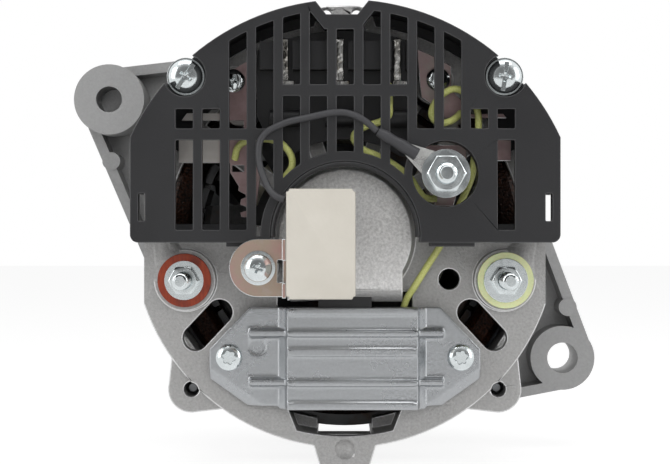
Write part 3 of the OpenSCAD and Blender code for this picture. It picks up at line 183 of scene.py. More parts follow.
soft_box("top_box", (0, -0.45, 1.1), 1.2, 0.8, 4.6)
soft_box("left_box", (-1.0, -0.9, 0.4), 0.6, 0.9, 3.6)
soft_box("right_box", (1.05, -0.8, 0.35), 0.6, 0.9, 3.0)
soft_box("front_box", (0.12, -1.7, 0.35), 0.8, 0.5, 10.0, mirrored=False)


# Rear end bracket
# One pressure casting in silver-grey aluminium alloy, shot blasted, with the hub,
# terminal bosses, pillar and bolt ears; its skin is rough with a fine grain.
class Socket:
    """A node's output in a material; sums and products of it add Math nodes."""

    def __init__(self, output):
        self.output = output
        self.tree = output.id_data

    def node(self, kind, settings=(), *values, **named):
        """A node of this type, with its settings and then what its sockets take."""
        made = self.tree.nodes.new("ShaderNode" + kind)
        for key, value in dict(settings).items():
            if key == "stops":
                ramp = made.color_ramp
                while len(ramp.elements) < len(value):
                    ramp.elements.new(0.5)
                for stop, (place, colour) in zip(ramp.elements, value):
                    stop.position = place
                    stop.color = colour
            else:
                setattr(made, key, value)
        live = [s for s in made.inputs if s.enabled]
        wanted = list(zip(live, values))
        wanted += [(next(s for s in live if s.name == key.replace("_", " ")), named[key]) for key in named]
        for socket, value in wanted:
            if isinstance(value, Socket):
                self.tree.links.new(value.output, socket)
            else:
                socket.default_value = value
        return Socket(next(s for s in made.outputs if s.enabled))

    def maths(self, operation, *values):
        return self.node("Math", {"operation": operation}, *values)

    def __add__(self, other):
        return self.maths("ADD", self, other)

    def __mul__(self, other):
        return self.maths("MULTIPLY", self, other)

    __radd__ = __add__
    __rmul__ = __mul__

    def between(self, low, high):
        """0 below low, 1 above high, even in between."""
        return self.node("MapRange", {"clamp": True}, self, low, high, 0.0, 1.0)

    def tint(self, first, second):
        """Colour that goes from first to second as this value goes from 0 to 1."""
        return self.node("Mix", {"data_type": "RGBA"}, Factor=self, A=first, B=second)

    def noise(self, scale, detail=3.0, roughness=0.55, stretch=None):
        """Noise at this point, so many features to a metre."""
        spot = self.node("Mapping", (), Vector=self, Scale=stretch) if stretch else self
        return self.node("TexNoise", (), Vector=spot, Scale=scale, Detail=detail, Roughness=roughness)


def grey(level, warm=0.0):
    """An even grey, a little yellow for a warm above 0."""
    return (level * (1 + warm), level, level * (1 - warm), 1)


def new_finish(name, colour, roughness, metallic=0.0):
    """A new material with its shader and the point being shaded."""
    material = bpy.data.materials.new(name)
    material.use_nodes = True
    tree = material.node_tree
    shader = tree.nodes["Principled BSDF"]
    shader.inputs["Base Color"].default_value = colour
    shader.inputs["Roughness"].default_value = roughness
    shader.inputs["Metallic"].default_value = metallic
    place = Socket(tree.nodes.new("ShaderNodeTexCoord").outputs["Object"])
    return material, shader, place


def link(value, shader, name):
    value.tree.links.new(value.output, shader.inputs[name])


def relief(place, height, depth, shader):
    """Bump of this depth in metres on the shader."""
    link(place.node("Bump", (), Height=height, Strength=1.0, Distance=depth), shader, "Normal")


def cast_alloy(name, light, dark, depth, shine, metallic=0.55, painted_light_from=None):
    """Cast aluminium; behind the y given last its skin is painted paler: painted light on the hub face, which
    the cover's skirt holds in shade.
    """
    material, shader, place = new_finish(name, light, shine, metallic)
    clouds = place.noise(38.0, 5.0, 0.6)
    grain = place.noise(1250.0, 4.0, 0.65)
    dimples = place.noise(480.0, 2.0)
    shade = clouds.between(0.28, 0.74) * 0.35 + grain.between(0.3, 0.72) * 0.65
    skin = shade.tint(dark, light)
    if painted_light_from:
        behind = place.node("SeparateXYZ", (), place)
        behind = Socket(behind.output.node.outputs["Y"]).between(painted_light_from, painted_light_from - 0.0004)
        skin = behind.tint(skin, shade.tint(grey(0.44, 0.01), grey(0.92, 0.01)))
    link(skin, shader, "Base Color")
    link(shine - 0.1 + clouds.between(0.3, 0.7) * 0.2, shader, "Roughness")
    relief(place, grain * 0.55 + dimples * 0.45, depth, shader)
    return material


def round_over(piece, width, sharp=35, segments=2, free=False, spare=()):
    """Round the sharp edges of a piece and smooth its shading; the new faces take its second slot.

    Width is in mm. Edges nearer to a ((x, z), reach) of spare, in mm, stay sharp.
    """
    bpy.ops.object.select_all(action="DESELECT")
    piece.select_set(True)
    bpy.context.view_layer.objects.active = piece
    if spare:
        bpy.ops.object.mode_set(mode="EDIT")
        bpy.ops.mesh.select_mode(type="EDGE")
        bpy.ops.mesh.select_all(action="DESELECT")
        bpy.ops.mesh.edges_select_sharp(sharpness=math.radians(sharp))
        bpy.ops.object.mode_set(mode="OBJECT")
        corners = piece.data.vertices
        for line in piece.data.edges:
            middle = (corners[line.vertices[0]].co + corners[line.vertices[1]].co) / 2 / MM
            ends = [corners[vertex].co / MM for vertex in line.vertices]
            if any((Vector((spot[0], spot[2])) - Vector(centre)).length < reach
                   for centre, reach in spare for spot in (middle, *ends)):
                line.select = False
        bpy.ops.object.mode_set(mode="EDIT")
        bpy.ops.transform.edge_bevelweight(value=1)
        bpy.ops.mesh.select_mode(type="VERT")
        bpy.ops.object.mode_set(mode="OBJECT")
    edge = piece.modifiers.new("edge", "BEVEL")
    edge.width = width * MM
    edge.segments = segments
    edge.limit_method = "WEIGHT" if spare else "ANGLE"
    edge.angle_limit = math.radians(sharp)
    edge.use_clamp_overlap = not free
    edge.miter_outer = "MITER_ARC"
    edge.material = 1
    bpy.ops.object.modifier_apply(modifier="edge")
    bpy.ops.object.shade_smooth_by_angle(angle=math.radians(30))
    even = piece.modifiers.new("even", "WEIGHTED_NORMAL")
    even.keep_sharp = True
    even.mode = "FACE_AREA"
    even.weight = 100
    bpy.ops.object.modifier_apply(modifier="even")
    piece.select_set(False)


def shaped_by(piece, tool, operation="DIFFERENCE"):
    """Work one solid with another, then take the tool away."""
    change = piece.modifiers.new("change", "BOOLEAN")
    change.operation = operation
    change.solver = "EXACT"
    change.object = tool
    bpy.context.view_layer.objects.active = piece
    bpy.ops.object.modifier_apply(modifier="change")
    bpy.data.objects.remove(tool)
    return piece


def softened(node, name, width, sharp=40, segments=2, free=False, worked=(), spare=()):
    """A copy of a CAD piece with the small radii that its mould or press leaves on its edges."""
    piece = bpy.data.objects.new(name, nodes[node].data.copy())
    bpy.context.scene.collection.objects.link(piece)
    piece.data.materials.clear()
    for slot in range(2):
        piece.data.materials.append(None)
    piece.data.polygons.foreach_set("material_index", [0] * len(piece.data.polygons))
    piece.select_set(True)
    bpy.context.view_layer.objects.active = piece
    bpy.ops.object.mode_set(mode="EDIT")
    bpy.ops.mesh.select_all(action="SELECT")
    bpy.ops.mesh.remove_doubles(threshold=1e-6)
    bpy.ops.object.mode_set(mode="OBJECT")
    for tool, operation in worked:
        shaped_by(piece, tool, operation)
    bpy.ops.object.mode_set(mode="EDIT")
    bpy.ops.mesh.select_all(action="SELECT")
    bpy.ops.mesh.dissolve_limited(angle_limit=math.radians(0.4))
    if free:
        bpy.ops.mesh.quads_convert_to_tris(quad_method="BEAUTY", ngon_method="BEAUTY")
    bpy.ops.object.mode_set(mode="OBJECT")
    round_over(piece, width, sharp, segments, free, spare)
    return piece


def fit(piece, material, body, slot, *stands_for, edges=None):
    """Dress a finished piece and say what it rides on and the CAD pieces it stands for; slot, the name of its
    finish, is not used.
    """
    faces = piece.data.polygons
    places = [0] * len(faces)
    faces.foreach_get("material_index", places)
    piece.data.materials.clear()
    piece.data.materials.append(material)
    if edges:
        piece.data.materials.append(edges)
    faces.foreach_set("material_index", [min(place, 1) if edges else 0 for place in places])
    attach(piece, body)
    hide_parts(*stands_for)


# The hub face lies behind this y; there the casting is painted paler, as painted light where the cover shades
# it.
PAINTED_LIGHT_FROM = -0.1244
rear_alloy = cast_alloy("blasted_alloy_with_painted_light", grey(0.52, 0.01), grey(0.32, 0.01), 0.0004, 0.5,
                        painted_light_from=PAINTED_LIGHT_FROM)
# A paler, shinier alloy for the bracket's rounded edges: a painted highlight along its rims.
painted_highlight_alloy = cast_alloy("painted_highlight_alloy", grey(0.88), grey(0.6), 0.0002, 0.34, 0.85)


def block(name, low, high):
    """A box between two corners, in mm."""
    bpy.ops.object.select_all(action="DESELECT")
    size = [(b - a) * MM for a, b in zip(low, high)]
    middle = [(a + b) / 2 * MM for a, b in zip(low, high)]
    bpy.ops.mesh.primitive_cube_add(size=1, location=middle, scale=size)
    made = bpy.context.object
    made.name = name
    bpy.ops.object.transform_apply(location=True, rotation=True, scale=True)
    made.select_set(False)
    return made


NECK_FOOT = -19.4
HUB_FACE = -125
SLOPE_TOP = -15.85
SLOPE_DEPTH = 5.5
CREASE_X = 57.5
CREASE_Z = -5
CREASE_REACH = 8
neck_fill = block("neck_fill", (-16.4, HUB_FACE, NECK_FOOT - 1), (17.3, HUB_FACE + 6, -9))
below_neck = block("below_neck", (-24, HUB_FACE - 1.5, -25), (24, -113.4, NECK_FOOT - 0.05))
neck_slope = block("neck_slope", (-16.4, HUB_FACE - 1.5, NECK_FOOT - 1), (19, HUB_FACE + SLOPE_DEPTH, -12))
bpy.context.view_layer.objects.active = neck_slope
neck_slope.select_set(True)
bpy.ops.object.mode_set(mode="EDIT")
bpy.ops.mesh.select_all(action="SELECT")
bpy.ops.mesh.bisect(plane_co=(0, HUB_FACE * MM, SLOPE_TOP * MM),
                    plane_no=(0, SLOPE_TOP - NECK_FOOT, SLOPE_DEPTH), use_fill=True, clear_outer=True)
bpy.ops.object.mode_set(mode="OBJECT")
neck_slope.select_set(False)
bracket = softened("rear_bracket", "rear_bracket_casting", 0.4, 60, free=True,
                   worked=((neck_fill, "UNION"), (below_neck, "DIFFERENCE"), (neck_slope, "DIFFERENCE")),
                   spare=(((-CREASE_X, CREASE_Z), CREASE_REACH), ((CREASE_X, CREASE_Z), CREASE_REACH)))
fit(bracket, rear_alloy, "housing", "rear_casting", "rear_bracket", edges=painted_highlight_alloy)


# Front end bracket
# A second casting, smoother and a little darker, with the long pivot arm and the
# adjusting arm, whose bores are machined.
front_alloy = cast_alloy("fine_alloy", grey(0.42), grey(0.34), 0.00012, 0.48)
front = softened("front_bracket", "front_bracket_casting", 0.3)
fit(front, front_alloy, "housing", "front_casting", "front_bracket")


# Stator
# A ring of thin steel sheets pressed together, with enamelled copper bars in its
# slots and varnished end turns on both sides.
def laminated():
    material, shader, place = new_finish("steel_sheets", grey(0.1), 0.5, 0.8)
    sheets = place.noise(1.0, 1.0, 0.5, (25.0, 1900.0, 25.0))
    stains = place.noise(60.0, 5.0, 0.6)
    bluish = (0.085, 0.09, 0.1, 1)
    rusty = (0.16, 0.09, 0.05, 1)
    steel = sheets.between(0.3, 0.7).tint(bluish, grey(0.2))
    link(stains.between(0.58, 0.75).tint(steel, rusty), shader, "Base Color")
    link(0.38 + stains.between(0.3, 0.8) * 0.3, shader, "Roughness")
    relief(place, sheets, 0.0002, shader)
    return material


def varnished_copper(name, bright, dark, across):
    """Wound copper wire under brown varnish; across stretches the strands."""
    material, shader, place = new_finish(name, bright, 0.3, 0.6)
    strands = place.noise(1.0, 1.0, 0.4, across)
    varnish = place.noise(90.0, 4.0, 0.6)
    coppery = strands.between(0.35, 0.6).tint(dark, bright)
    link(varnish.between(0.35, 0.7).tint(coppery, dark), shader, "Base Color")
    link(0.25 + varnish.between(0.3, 0.7) * 0.35, shader, "Roughness")
    relief(place, strands, 0.0006, shader)
    return material


core = softened("stator_core", "stator_core_stack", 0.12)
fit(core, laminated(), "housing", "laminations", "stator_core")
# The stator winding's copper is made nearly black: painted shade for the dark inside seen through the vents.
winding_copper_in_painted_shade = varnished_copper("varnished_copper", (0.06, 0.02, 0.009, 1), (0.008, 0.005, 0.004, 1),
                                   (1300.0, 300.0, 1300.0))
winding = softened("stator_winding", "stator_winding_turns", 0.5, 50)
fit(winding, winding_copper_in_painted_shade, "housing", "enamelled_copper", "stator_winding")


# Through bolts
# Four long zinc-plated hexagon bolts from the front bracket through the core edge
# into the tapped ears of the rear bracket.
def plated(name, colour, rough, depth=0.00002, blotch=0.72):
    """Plated or bare metal: bright, with a slightly uneven film; bright zinc from it also lies on some
    rounded edges as a painted highlight.
    """
    material, shader, place = new_finish(name, colour, rough, 1.0)
    film = place.noise(240.0, 4.0)
    fine = place.noise(2600.0, 2.0)
    darker = tuple(blotch * c for c in colour[:3]) + (1,)
    brighter = tuple(min(1, 1.15 * c) for c in colour[:3]) + (1,)
    bright = fine.between(0.35, 0.7).tint(colour, brighter)
    link(film.between(0.3, 0.75).tint(darker, bright), shader, "Base Color")
    link(rough * 0.7 + film.between(0.3, 0.7) * rough * 0.6, shader, "Roughness")
    relief(place, fine, depth, shader)
    return material


def turned(name, steps, sides=48):
    """A piece turned about the Y axis; steps are its (y, radius) corners in mm."""
    start, radius = steps[0]
    bpy.ops.object.select_all(action="DESELECT")
    bpy.ops.mesh.primitive_circle_add(vertices=sides, radius=radius * MM, fill_type="NGON",
                                      location=(0, start * MM, 0), rotation=(math.radians(90), 0, 0))
    piece = bpy.context.object
    piece.name = name
    bpy.ops.object.transform_apply(location=True, rotation=True, scale=True)
    bpy.ops.object.mode_set(mode="EDIT")
    for (y_from, r_from), (y_to, r_to) in zip(steps, steps[1:]):
        bpy.ops.mesh.extrude_region_move(TRANSFORM_OT_translate={"value": (0, (y_to - y_from) * MM, 0)})
        bpy.ops.transform.resize(value=(r_to / r_from, 1, r_to / r_from), center_override=(0, y_to * MM, 0))
    bpy.ops.mesh.select_all(action="SELECT")
    bpy.ops.mesh.normals_make_consistent(inside=False)
    bpy.ops.object.mode_set(mode="OBJECT")
    piece.select_set(False)
    return piece


def joined(piece, *others):
    """Several pieces as one, under the name of the first."""
    bpy.ops.object.select_all(action="DESELECT")
    for part in (piece,) + others:
        part.select_set(True)
    bpy.context.view_layer.objects.active = piece
    bpy.ops.object.join()
    piece.select_set(False)
    return piece


def threaded(name, radius, pitch, y_from, y_to, core_steps):
    """A turned core with the ridge of a screw thread wound round it; all in mm."""
    ridge_r = pitch / math.sqrt(3)
    bpy.ops.object.select_all(action="DESELECT")
    bpy.ops.mesh.primitive_circle_add(vertices=3, radius=ridge_r * MM, fill_type="NOTHING",
                                      location=((radius - ridge_r) * MM, y_from * MM, 0),
                                      rotation=(0, 0, math.radians(-90)))
    ridge = bpy.context.object
    bpy.ops.object.transform_apply(location=True, rotation=True, scale=True)
    winding_on = ridge.modifiers.new("wind", "SCREW")
    winding_on.axis = "Y"
    winding_on.angle = math.tau
    winding_on.screw_offset = math.copysign(pitch, y_to - y_from) * MM
    winding_on.iterations = int(abs(y_to - y_from) / pitch)
    winding_on.steps = 24
    winding_on.render_steps = 24
    bpy.ops.object.modifier_apply(modifier="wind")
    bpy.ops.object.mode_set(mode="EDIT")
    bpy.ops.mesh.select_all(action="SELECT")
    bpy.ops.mesh.remove_doubles(threshold=1e-6)
    bpy.ops.mesh.fill_holes(sides=4)
    bpy.ops.mesh.select_all(action="SELECT")
    bpy.ops.mesh.normals_make_consistent(inside=False)
    bpy.ops.object.mode_set(mode="OBJECT")
    return joined(turned(name, core_steps, 32), ridge)


def hexagon(name, across, seat, top):
    """A hexagon about the Y axis with its corners turned down at the top."""
    corner_r = across / math.sqrt(3)
    piece = turned(name, [(seat, corner_r), (top, corner_r)], 6)
    inward = math.copysign(1, seat - top)
    tool = turned("corner_tool", [(seat + inward * 0.2, corner_r * 1.1),
                                  (top + inward * 0.12 * across, corner_r * 1.1),
                                  (top - inward * 0.02, across * 0.46)], 64)
    return shaped_by(piece, tool, "INTERSECT")


def placed(piece, spots):
    """Copies of a piece made about the Y axis, each turned and moved to its (name, x, z, turn)."""
    made = []
    for name, x, z, turn in spots:
        mesh = piece.data.copy()
        mesh.transform(Matrix.Translation((x * MM, 0, z * MM)) @ Matrix.Rotation(math.radians(turn), 4, "Y"))
        copy = bpy.data.objects.new(name, mesh)
        bpy.context.scene.collection.objects.link(copy)
        made.append(copy)
    bpy.data.objects.remove(piece)
    return made


BOLT_R = 2.24
BOLT_SPOT = 47.02
zinc = plated("bright_zinc", (0.79, 0.84, 0.85, 1), 0.16, 0.000004, 0.86)
bolt_zinc = plated("dull_zinc", (0.3, 0.31, 0.32, 1), 0.32)
bolt = threaded("bolt", BOLT_R, 0.8, -84, -99.4,
                [(-27, BOLT_R), (-82, BOLT_R), (-82.5, 1.8), (-99.4, 1.8), (-100, 1.3)])
bolt = joined(bolt, hexagon("bolt_head", 8, -30, -26.5))
round_over(bolt, 0.12)
corners = [("bolt_upper_left", -1, 1), ("bolt_upper_right", 1, 1),
           ("bolt_lower_left", -1, -1), ("bolt_lower_right", 1, -1)]
for bolt in placed(bolt, [(name, x * BOLT_SPOT, z * BOLT_SPOT, 20 * x) for name, x, z in corners]):
    fit(bolt, bolt_zinc, "housing", "zinc_steel", "through_bolts")


# Bearings
# Two ground ball bearings, their balls in a ring, and the pressed steel plate
# that holds the front one with three small pan-head screws.
def machined(name, colour, rough, along=2200.0, across=40.0):
    """Ground or turned steel with fine tool marks that run round the Y axis."""
    material, shader, place = new_finish(name, colour, rough, 1.0)
    marks = place.noise(1.0, 2.0, 0.5, (across, along, across))
    smears = place.noise(70.0, 4.0, 0.6)
    darker = tuple(0.6 * c for c in colour[:3]) + (1,)
    link((marks.between(0.3, 0.7) * 0.5 + smears.between(0.35, 0.75) * 0.5).tint(darker, colour),
         shader, "Base Color")
    link(rough * 0.75 + marks.between(0.3, 0.7) * rough * 0.5, shader, "Roughness")
    relief(place, marks, 0.00004, shader)
    return material


def pan_head(name, shank_r, tip, seat, head_r, height, washer_r=0.0, slot=False, star=False):
    """Pan-head screw about the Y axis with a cross or star recess, and a slot or washer if asked; in mm."""
    dome = [(0.0, 0.93), (0.2, 1.0), (0.42, 1.0), (0.62, 0.93), (0.8, 0.78), (0.93, 0.55), (1.0, 0.25),
            (1.001, 0.02)]
    steps = [(tip, shank_r * 0.7), (tip - 0.5, shank_r), (seat, shank_r)]
    steps += [(seat - height * rise, head_r * reach) for rise, reach in dome]
    screw = turned(name, steps)
    top = seat - height
    arm = head_r * 0.42
    recess = [(arm, head_r * 0.1, 0.62 * height), (head_r * 0.1, arm, 0.62 * height)]
    if star:
        recess = []
        tool = turned("star_tool", [(top - 1, head_r * 0.5), (top + 0.5 * height, head_r * 0.45)], 48)
        for vertex in tool.data.vertices:
            lobe = 1 + 0.14 * math.cos(6 * math.atan2(vertex.co.z, vertex.co.x))
            vertex.co.x *= lobe
            vertex.co.z *= lobe
        screw = shaped_by(screw, tool)
    if slot:
        recess.append((head_r * 1.1, head_r * 0.13, 0.3 * height))
    for half_x, half_z, depth in recess:
        bpy.ops.object.select_all(action="DESELECT")
        bpy.ops.mesh.primitive_cube_add(size=2, location=(0, (top + depth / 2 - 0.5) * MM, 0),
                                        scale=(half_x * MM, (depth / 2 + 0.5) * MM, half_z * MM))
        tool = bpy.context.object
        bpy.ops.object.transform_apply(location=True, rotation=True, scale=True)
        if not (slot and half_x > head_r):
            bpy.ops.object.mode_set(mode="EDIT")
            bpy.ops.mesh.select_all(action="DESELECT")
            bpy.ops.object.mode_set(mode="OBJECT")
            for vertex in tool.data.vertices:
                vertex.select = vertex.co.y > (top + depth / 2) * MM
            bpy.ops.object.mode_set(mode="EDIT")
            bpy.ops.transform.resize(value=(0.62, 1, 0.62), center_override=(0, 0, 0))
            bpy.ops.object.mode_set(mode="OBJECT")
        screw = shaped_by(screw, tool)
    round_over(screw, 0.08, 32)
    if washer_r:
        hole_r = shank_r + 0.3
        washer = turned("washer", [(seat + 1.0, hole_r), (seat + 1.0, washer_r), (seat + 0.01, washer_r),
                                   (seat + 0.01, hole_r)])
        round_over(washer, 0.18, 32)
        screw = joined(screw, washer)
    return screw


ground = machined("ground_steel", (0.56, 0.57, 0.58, 1), 0.22)
for node, name in (("front_bearing_outer", "front_race_outer"), ("front_bearing_inner", "front_race_inner"),
                   ("rear_bearing_outer", "rear_race_outer"), ("rear_bearing_inner", "rear_race_inner")):
    body = "rotor" if node.endswith("inner") else "housing"
    fit(softened(node, name, 0.2), ground, body, "bearing_steel", node)
for node in ("front_bearing_balls", "rear_bearing_balls"):
    for slot in nodes[node].material_slots:
        slot.material = ground
dull_steel = plated("grey_sheet", (0.42, 0.43, 0.44, 1), 0.4)
fit(softened("bearing_retainer", "bearing_plate", 0.25), dull_steel, "housing", "zinc_steel",
    "bearing_retainer")
plate_screw = pan_head("plate_screw", 1.5, -39, -47, 2.8, 1.8)
for screw in placed(plate_screw, [("plate_screw_top", 0, 25.7, 10), ("plate_screw_left", -22.26, -12.85, 35),
                                  ("plate_screw_right", 22.26, -12.85, 70)]):
    fit(screw, zinc, "housing", "zinc_steel", "retainer_screws")


# Rotor
# A turned shaft with two forged claw poles pressed on, and between them the field
# coil on its nylon bobbin; the slip rings sit on a moulded sleeve at the rear.
def moulded(name, colour, rough, grain=0.00003, scale=1800.0):
    """Moulded plastic, rubber or fibre with a fine even grain."""
    material, shader, place = new_finish(name, colour, rough)
    speckle = place.noise(scale, 2.0)
    patches = place.noise(45.0, 4.0)
    lighter = tuple(min(1, 1.3 * c) for c in colour[:3]) + (1,)
    link((patches.between(0.35, 0.75) * 0.6 + speckle.between(0.3, 0.8) * 0.4).tint(colour, lighter),
         shader, "Base Color")
    link(rough - 0.07 + patches.between(0.3, 0.7) * 0.14, shader, "Roughness")
    relief(place, speckle, grain, shader)
    return material


def forged_iron():
    material, shader, place = new_finish("forged_iron", grey(0.09), 0.55, 0.7)
    scale_marks = place.noise(160.0, 5.0, 0.65)
    rust = place.noise(60.0, 4.0, 0.6)
    dark = scale_marks.between(0.35, 0.7).tint(grey(0.05), grey(0.14))
    link(rust.between(0.56, 0.75).tint(dark, (0.14, 0.07, 0.035, 1)), shader, "Base Color")
    link(0.4 + scale_marks.between(0.3, 0.7) * 0.3, shader, "Roughness")
    relief(place, scale_marks, 0.0003, shader)
    return material


turned_steel = machined("turned_steel", (0.45, 0.46, 0.47, 1), 0.3, 1400.0)
fit(softened("rotor_shaft", "shaft", 0.25), turned_steel, "rotor", "rotor_iron", "rotor_shaft")
iron = forged_iron()
fit(softened("front_pole_claw", "front_claw", 0.7), iron, "rotor", "rotor_iron", "front_pole_claw")
fit(softened("rear_pole_claw", "rear_claw", 0.7), iron, "rotor", "rotor_iron", "rear_pole_claw")
coil_copper = varnished_copper("coil_copper", (0.32, 0.12, 0.045, 1), (0.1, 0.035, 0.014, 1),
                               (60.0, 1500.0, 60.0))
fit(softened("field_coil", "field_coil_turns", 0.4), coil_copper, "rotor", "enamelled_copper", "field_coil")
nylon = moulded("natural_nylon", (0.6, 0.56, 0.45, 1), 0.42)
fit(softened("coil_bobbin", "field_bobbin", 0.3), nylon, "rotor", "bobbin_plastic", "coil_bobbin")
black_moulding = moulded("black_moulding", (0.013, 0.013, 0.014, 1), 0.42, 0.00004)
fit(softened("slip_ring_insulator", "ring_sleeve", 0.15), black_moulding, "rotor", "holder_plastic",
    "slip_ring_insulator")
ring_copper = machined("ring_copper", (0.62, 0.28, 0.13, 1), 0.22, 3000.0)
fit(softened("slip_rings", "slip_ring_pair", 0.12), ring_copper, "rotor", "slip_copper", "slip_rings")


# Fan and pulley
# A pressed steel fan and a belt pulley of two pressed halves, clamped on the shaft
# with spacers by the toothed washer and the hexagon nut.
def pressed_sheet(name, colour, rough):
    """Zinc-plated pressed sheet with drawing marks, scuffs and dulled patches."""
    material, shader, place = new_finish(name, colour, rough, 1.0)
    dulled = place.noise(35.0, 5.0, 0.6)
    scuffs = place.noise(1.0, 3.0, 0.6, (900.0, 90.0, 150.0))
    darker = tuple(0.55 * c for c in colour[:3]) + (1,)
    film = (dulled.between(0.3, 0.72) * 0.7 + scuffs.between(0.35, 0.7) * 0.3).tint(darker, colour)
    link(film, shader, "Base Color")
    link(rough - 0.1 + dulled.between(0.3, 0.7) * 0.22, shader, "Roughness")
    relief(place, scuffs * 0.5 + dulled * 0.5, 0.00005, shader)
    return material


zinc_sheet = pressed_sheet("zinc_sheet", (0.5, 0.52, 0.53, 1), 0.36)
fit(softened("fan", "cooling_fan", 0.3), zinc_sheet, "rotor", "fan_steel", "fan")
for side in ("front", "rear"):
    fit(softened(f"pulley_{side}_half", f"pulley_half_{side}", 0.45), zinc_sheet, "rotor", "pulley_steel",
        f"pulley_{side}_half")
fit(softened("shaft_spacers", "spacers", 0.3), turned_steel, "rotor", "rotor_iron", "shaft_spacers")
fit(softened("lock_washer", "toothed_washer", 0.25), dull_steel, "rotor", "zinc_steel", "lock_washer")
fit(softened("pulley_nut", "shaft_nut", 0.3), zinc, "rotor", "zinc_steel", "pulley_nut")


# Rectifier
# Two pressed heat sinks with pink-grey passivation carry six press-fit diodes; a
# black moulded board clamps the tinned stator ends and three small diodes.
def tinted_sheet(name, stops, rough, pale_left=None):
    """Passivated zinc sheet whose film shifts between the stops, and is paler left of pale_left."""
    material, shader, place = new_finish(name, stops[0][1], rough, 0.85)
    film = place.noise(75.0, 4.0, 0.62)
    specks = place.noise(700.0, 2.0)
    colours = place.node("ValToRGB", {"stops": stops}, film.between(0.28, 0.72))
    if pale_left:
        side = place.node("SeparateXYZ", (), place)
        colours = side.between(pale_left, pale_left - 0.0015).tint(colours, (0.62, 0.59, 0.56, 1))
    link(colours, shader, "Base Color")
    link(rough - 0.08 + specks.between(0.3, 0.7) * 0.18, shader, "Roughness")
    relief(place, specks, 0.00003, shader)
    return material


PALE_BEFORE = -0.0368
sink_sheet = tinted_sheet("pink_grey_sheet", [(0.0, (0.3, 0.21, 0.21, 1)), (0.5, (0.42, 0.3, 0.3, 1)),
                                              (1.0, (0.4, 0.36, 0.33, 1))], 0.45, PALE_BEFORE)
# The sinks' rounded edges take bright zinc: a painted highlight along their rims.
for node, name in (("positive_heat_sink", "heat_sink_right"), ("negative_heat_sink", "heat_sink_left")):
    fit(softened(node, name, 0.2), sink_sheet, "housing", "sink_metal", node, edges=zinc)
diode_case = plated("diode_case", (0.45, 0.44, 0.42, 1), 0.38)
fit(softened("power_diodes", "press_fit_diodes", 0.25), diode_case, "housing", "diode_metal", "power_diodes")
fit(softened("rectifier_board", "board_moulding", 0.25), black_moulding, "housing", "holder_plastic",
    "rectifier_board")
fit(softened("exciter_diodes", "small_diodes", 0.25), black_moulding, "housing", "holder_plastic",
    "exciter_diodes")
rectifier_screw = pan_head("rectifier_screw", 2, -111, -124, 3.6, 2.6)
for screw in placed(rectifier_screw, [("rectifier_screw_left", -33.4, 46.3, 20),
                                      ("rectifier_screw_right", 27.8, 46.8, 60)]):
    fit(screw, zinc, "housing", "zinc_steel", "rectifier_screws")


# Stator ends
# Three copper ends of the stator winding, tinned and folded into the board's
# clamps with lumpy solder.
def soldered():
    material, shader, place = new_finish("soft_solder", (0.78, 0.77, 0.73, 1), 0.24, 1.0)
    streaks = place.noise(340.0, 3.0, 0.55, (1.0, 1.0, 0.3))
    flux = place.noise(330.0, 4.0, 0.6)
    metal = streaks.between(0.4, 0.62).tint((0.45, 0.43, 0.39, 1), (0.9, 0.89, 0.86, 1))
    link(flux.between(0.6, 0.75).tint(metal, (0.4, 0.33, 0.2, 1)), shader, "Base Color")
    link(0.12 + streaks.between(0.3, 0.7) * 0.2, shader, "Roughness")
    relief(place, streaks, 0.00006, shader)
    return material


solder = soldered()
leads = bpy.data.objects.new("stator_ends", nodes["phase_leads"].data.copy())
bpy.context.scene.collection.objects.link(leads)
bpy.context.view_layer.objects.active = leads
leads.select_set(True)
lumps = bpy.data.textures.new("solder_lumps", "CLOUDS")
lumps.noise_scale = 1.7 * MM
melted = leads.modifiers.new("melted", "REMESH")
melted.mode = "VOXEL"
melted.voxel_size = 0.16 * MM
bpy.ops.object.modifier_apply(modifier="melted")
swell = leads.modifiers.new("swell", "DISPLACE")
swell.texture = lumps
swell.texture_coords = "LOCAL"
swell.mid_level = 0.55
swell.strength = 0.3 * MM
bpy.ops.object.modifier_apply(modifier="swell")
settle = leads.modifiers.new("settle", "SMOOTH")
settle.factor = 0.5
settle.iterations = 5
bpy.ops.object.modifier_apply(modifier="settle")
bpy.ops.object.shade_smooth()
leads.select_set(False)
fit(leads, solder, "housing", "tinned_metal", "phase_leads")


# Rectifier wires
# Soft stranded wires in yellow-green glass sleeving: the regulator's loop over the
# right heat sink, and two short ones across the middle.
def wire(name, route, radius, waist=()):
    """A round wire through these points in mm; waist gives its relative thickness at each point."""
    curve = bpy.data.curves.new(name, "CURVE")
    curve.dimensions = "3D"
    curve.resolution_u = 6
    curve.bevel_depth = radius * MM
    curve.bevel_resolution = 4
    curve.use_fill_caps = True
    spline = curve.splines.new("BEZIER")
    spline.bezier_points.add(len(route) - 1)
    for index, (point, spot) in enumerate(zip(spline.bezier_points, route)):
        point.co = Vector(spot) * MM
        point.handle_left_type = point.handle_right_type = "AUTO"
        point.radius = waist[index] if waist else 1.0
    piece = bpy.data.objects.new(name, curve)
    bpy.context.scene.collection.objects.link(piece)
    bpy.ops.object.select_all(action="DESELECT")
    piece.select_set(True)
    bpy.context.view_layer.objects.active = piece
    bpy.ops.object.convert(target="MESH")
    bpy.ops.object.shade_smooth_by_angle(angle=math.radians(50))
    piece.select_set(False)
    return piece


def sleeving():
    """Woven yellow-green sleeve, a little soiled."""
    material, shader, place = new_finish("glass_sleeving", (0.58, 0.6, 0.2, 1), 0.42)
    weave = place.noise(2600.0, 2.0)
    soil = place.noise(160.0, 4.0, 0.6)
    clean = weave.between(0.3, 0.7).tint((0.5, 0.53, 0.14, 1), (0.66, 0.68, 0.27, 1))
    link(soil.between(0.55, 0.8).tint(clean, (0.26, 0.26, 0.1, 1)), shader, "Base Color")
    link(0.34 + weave.between(0.3, 0.7) * 0.18, shader, "Roughness")
    relief(place, weave, 0.00008, shader)
    return material


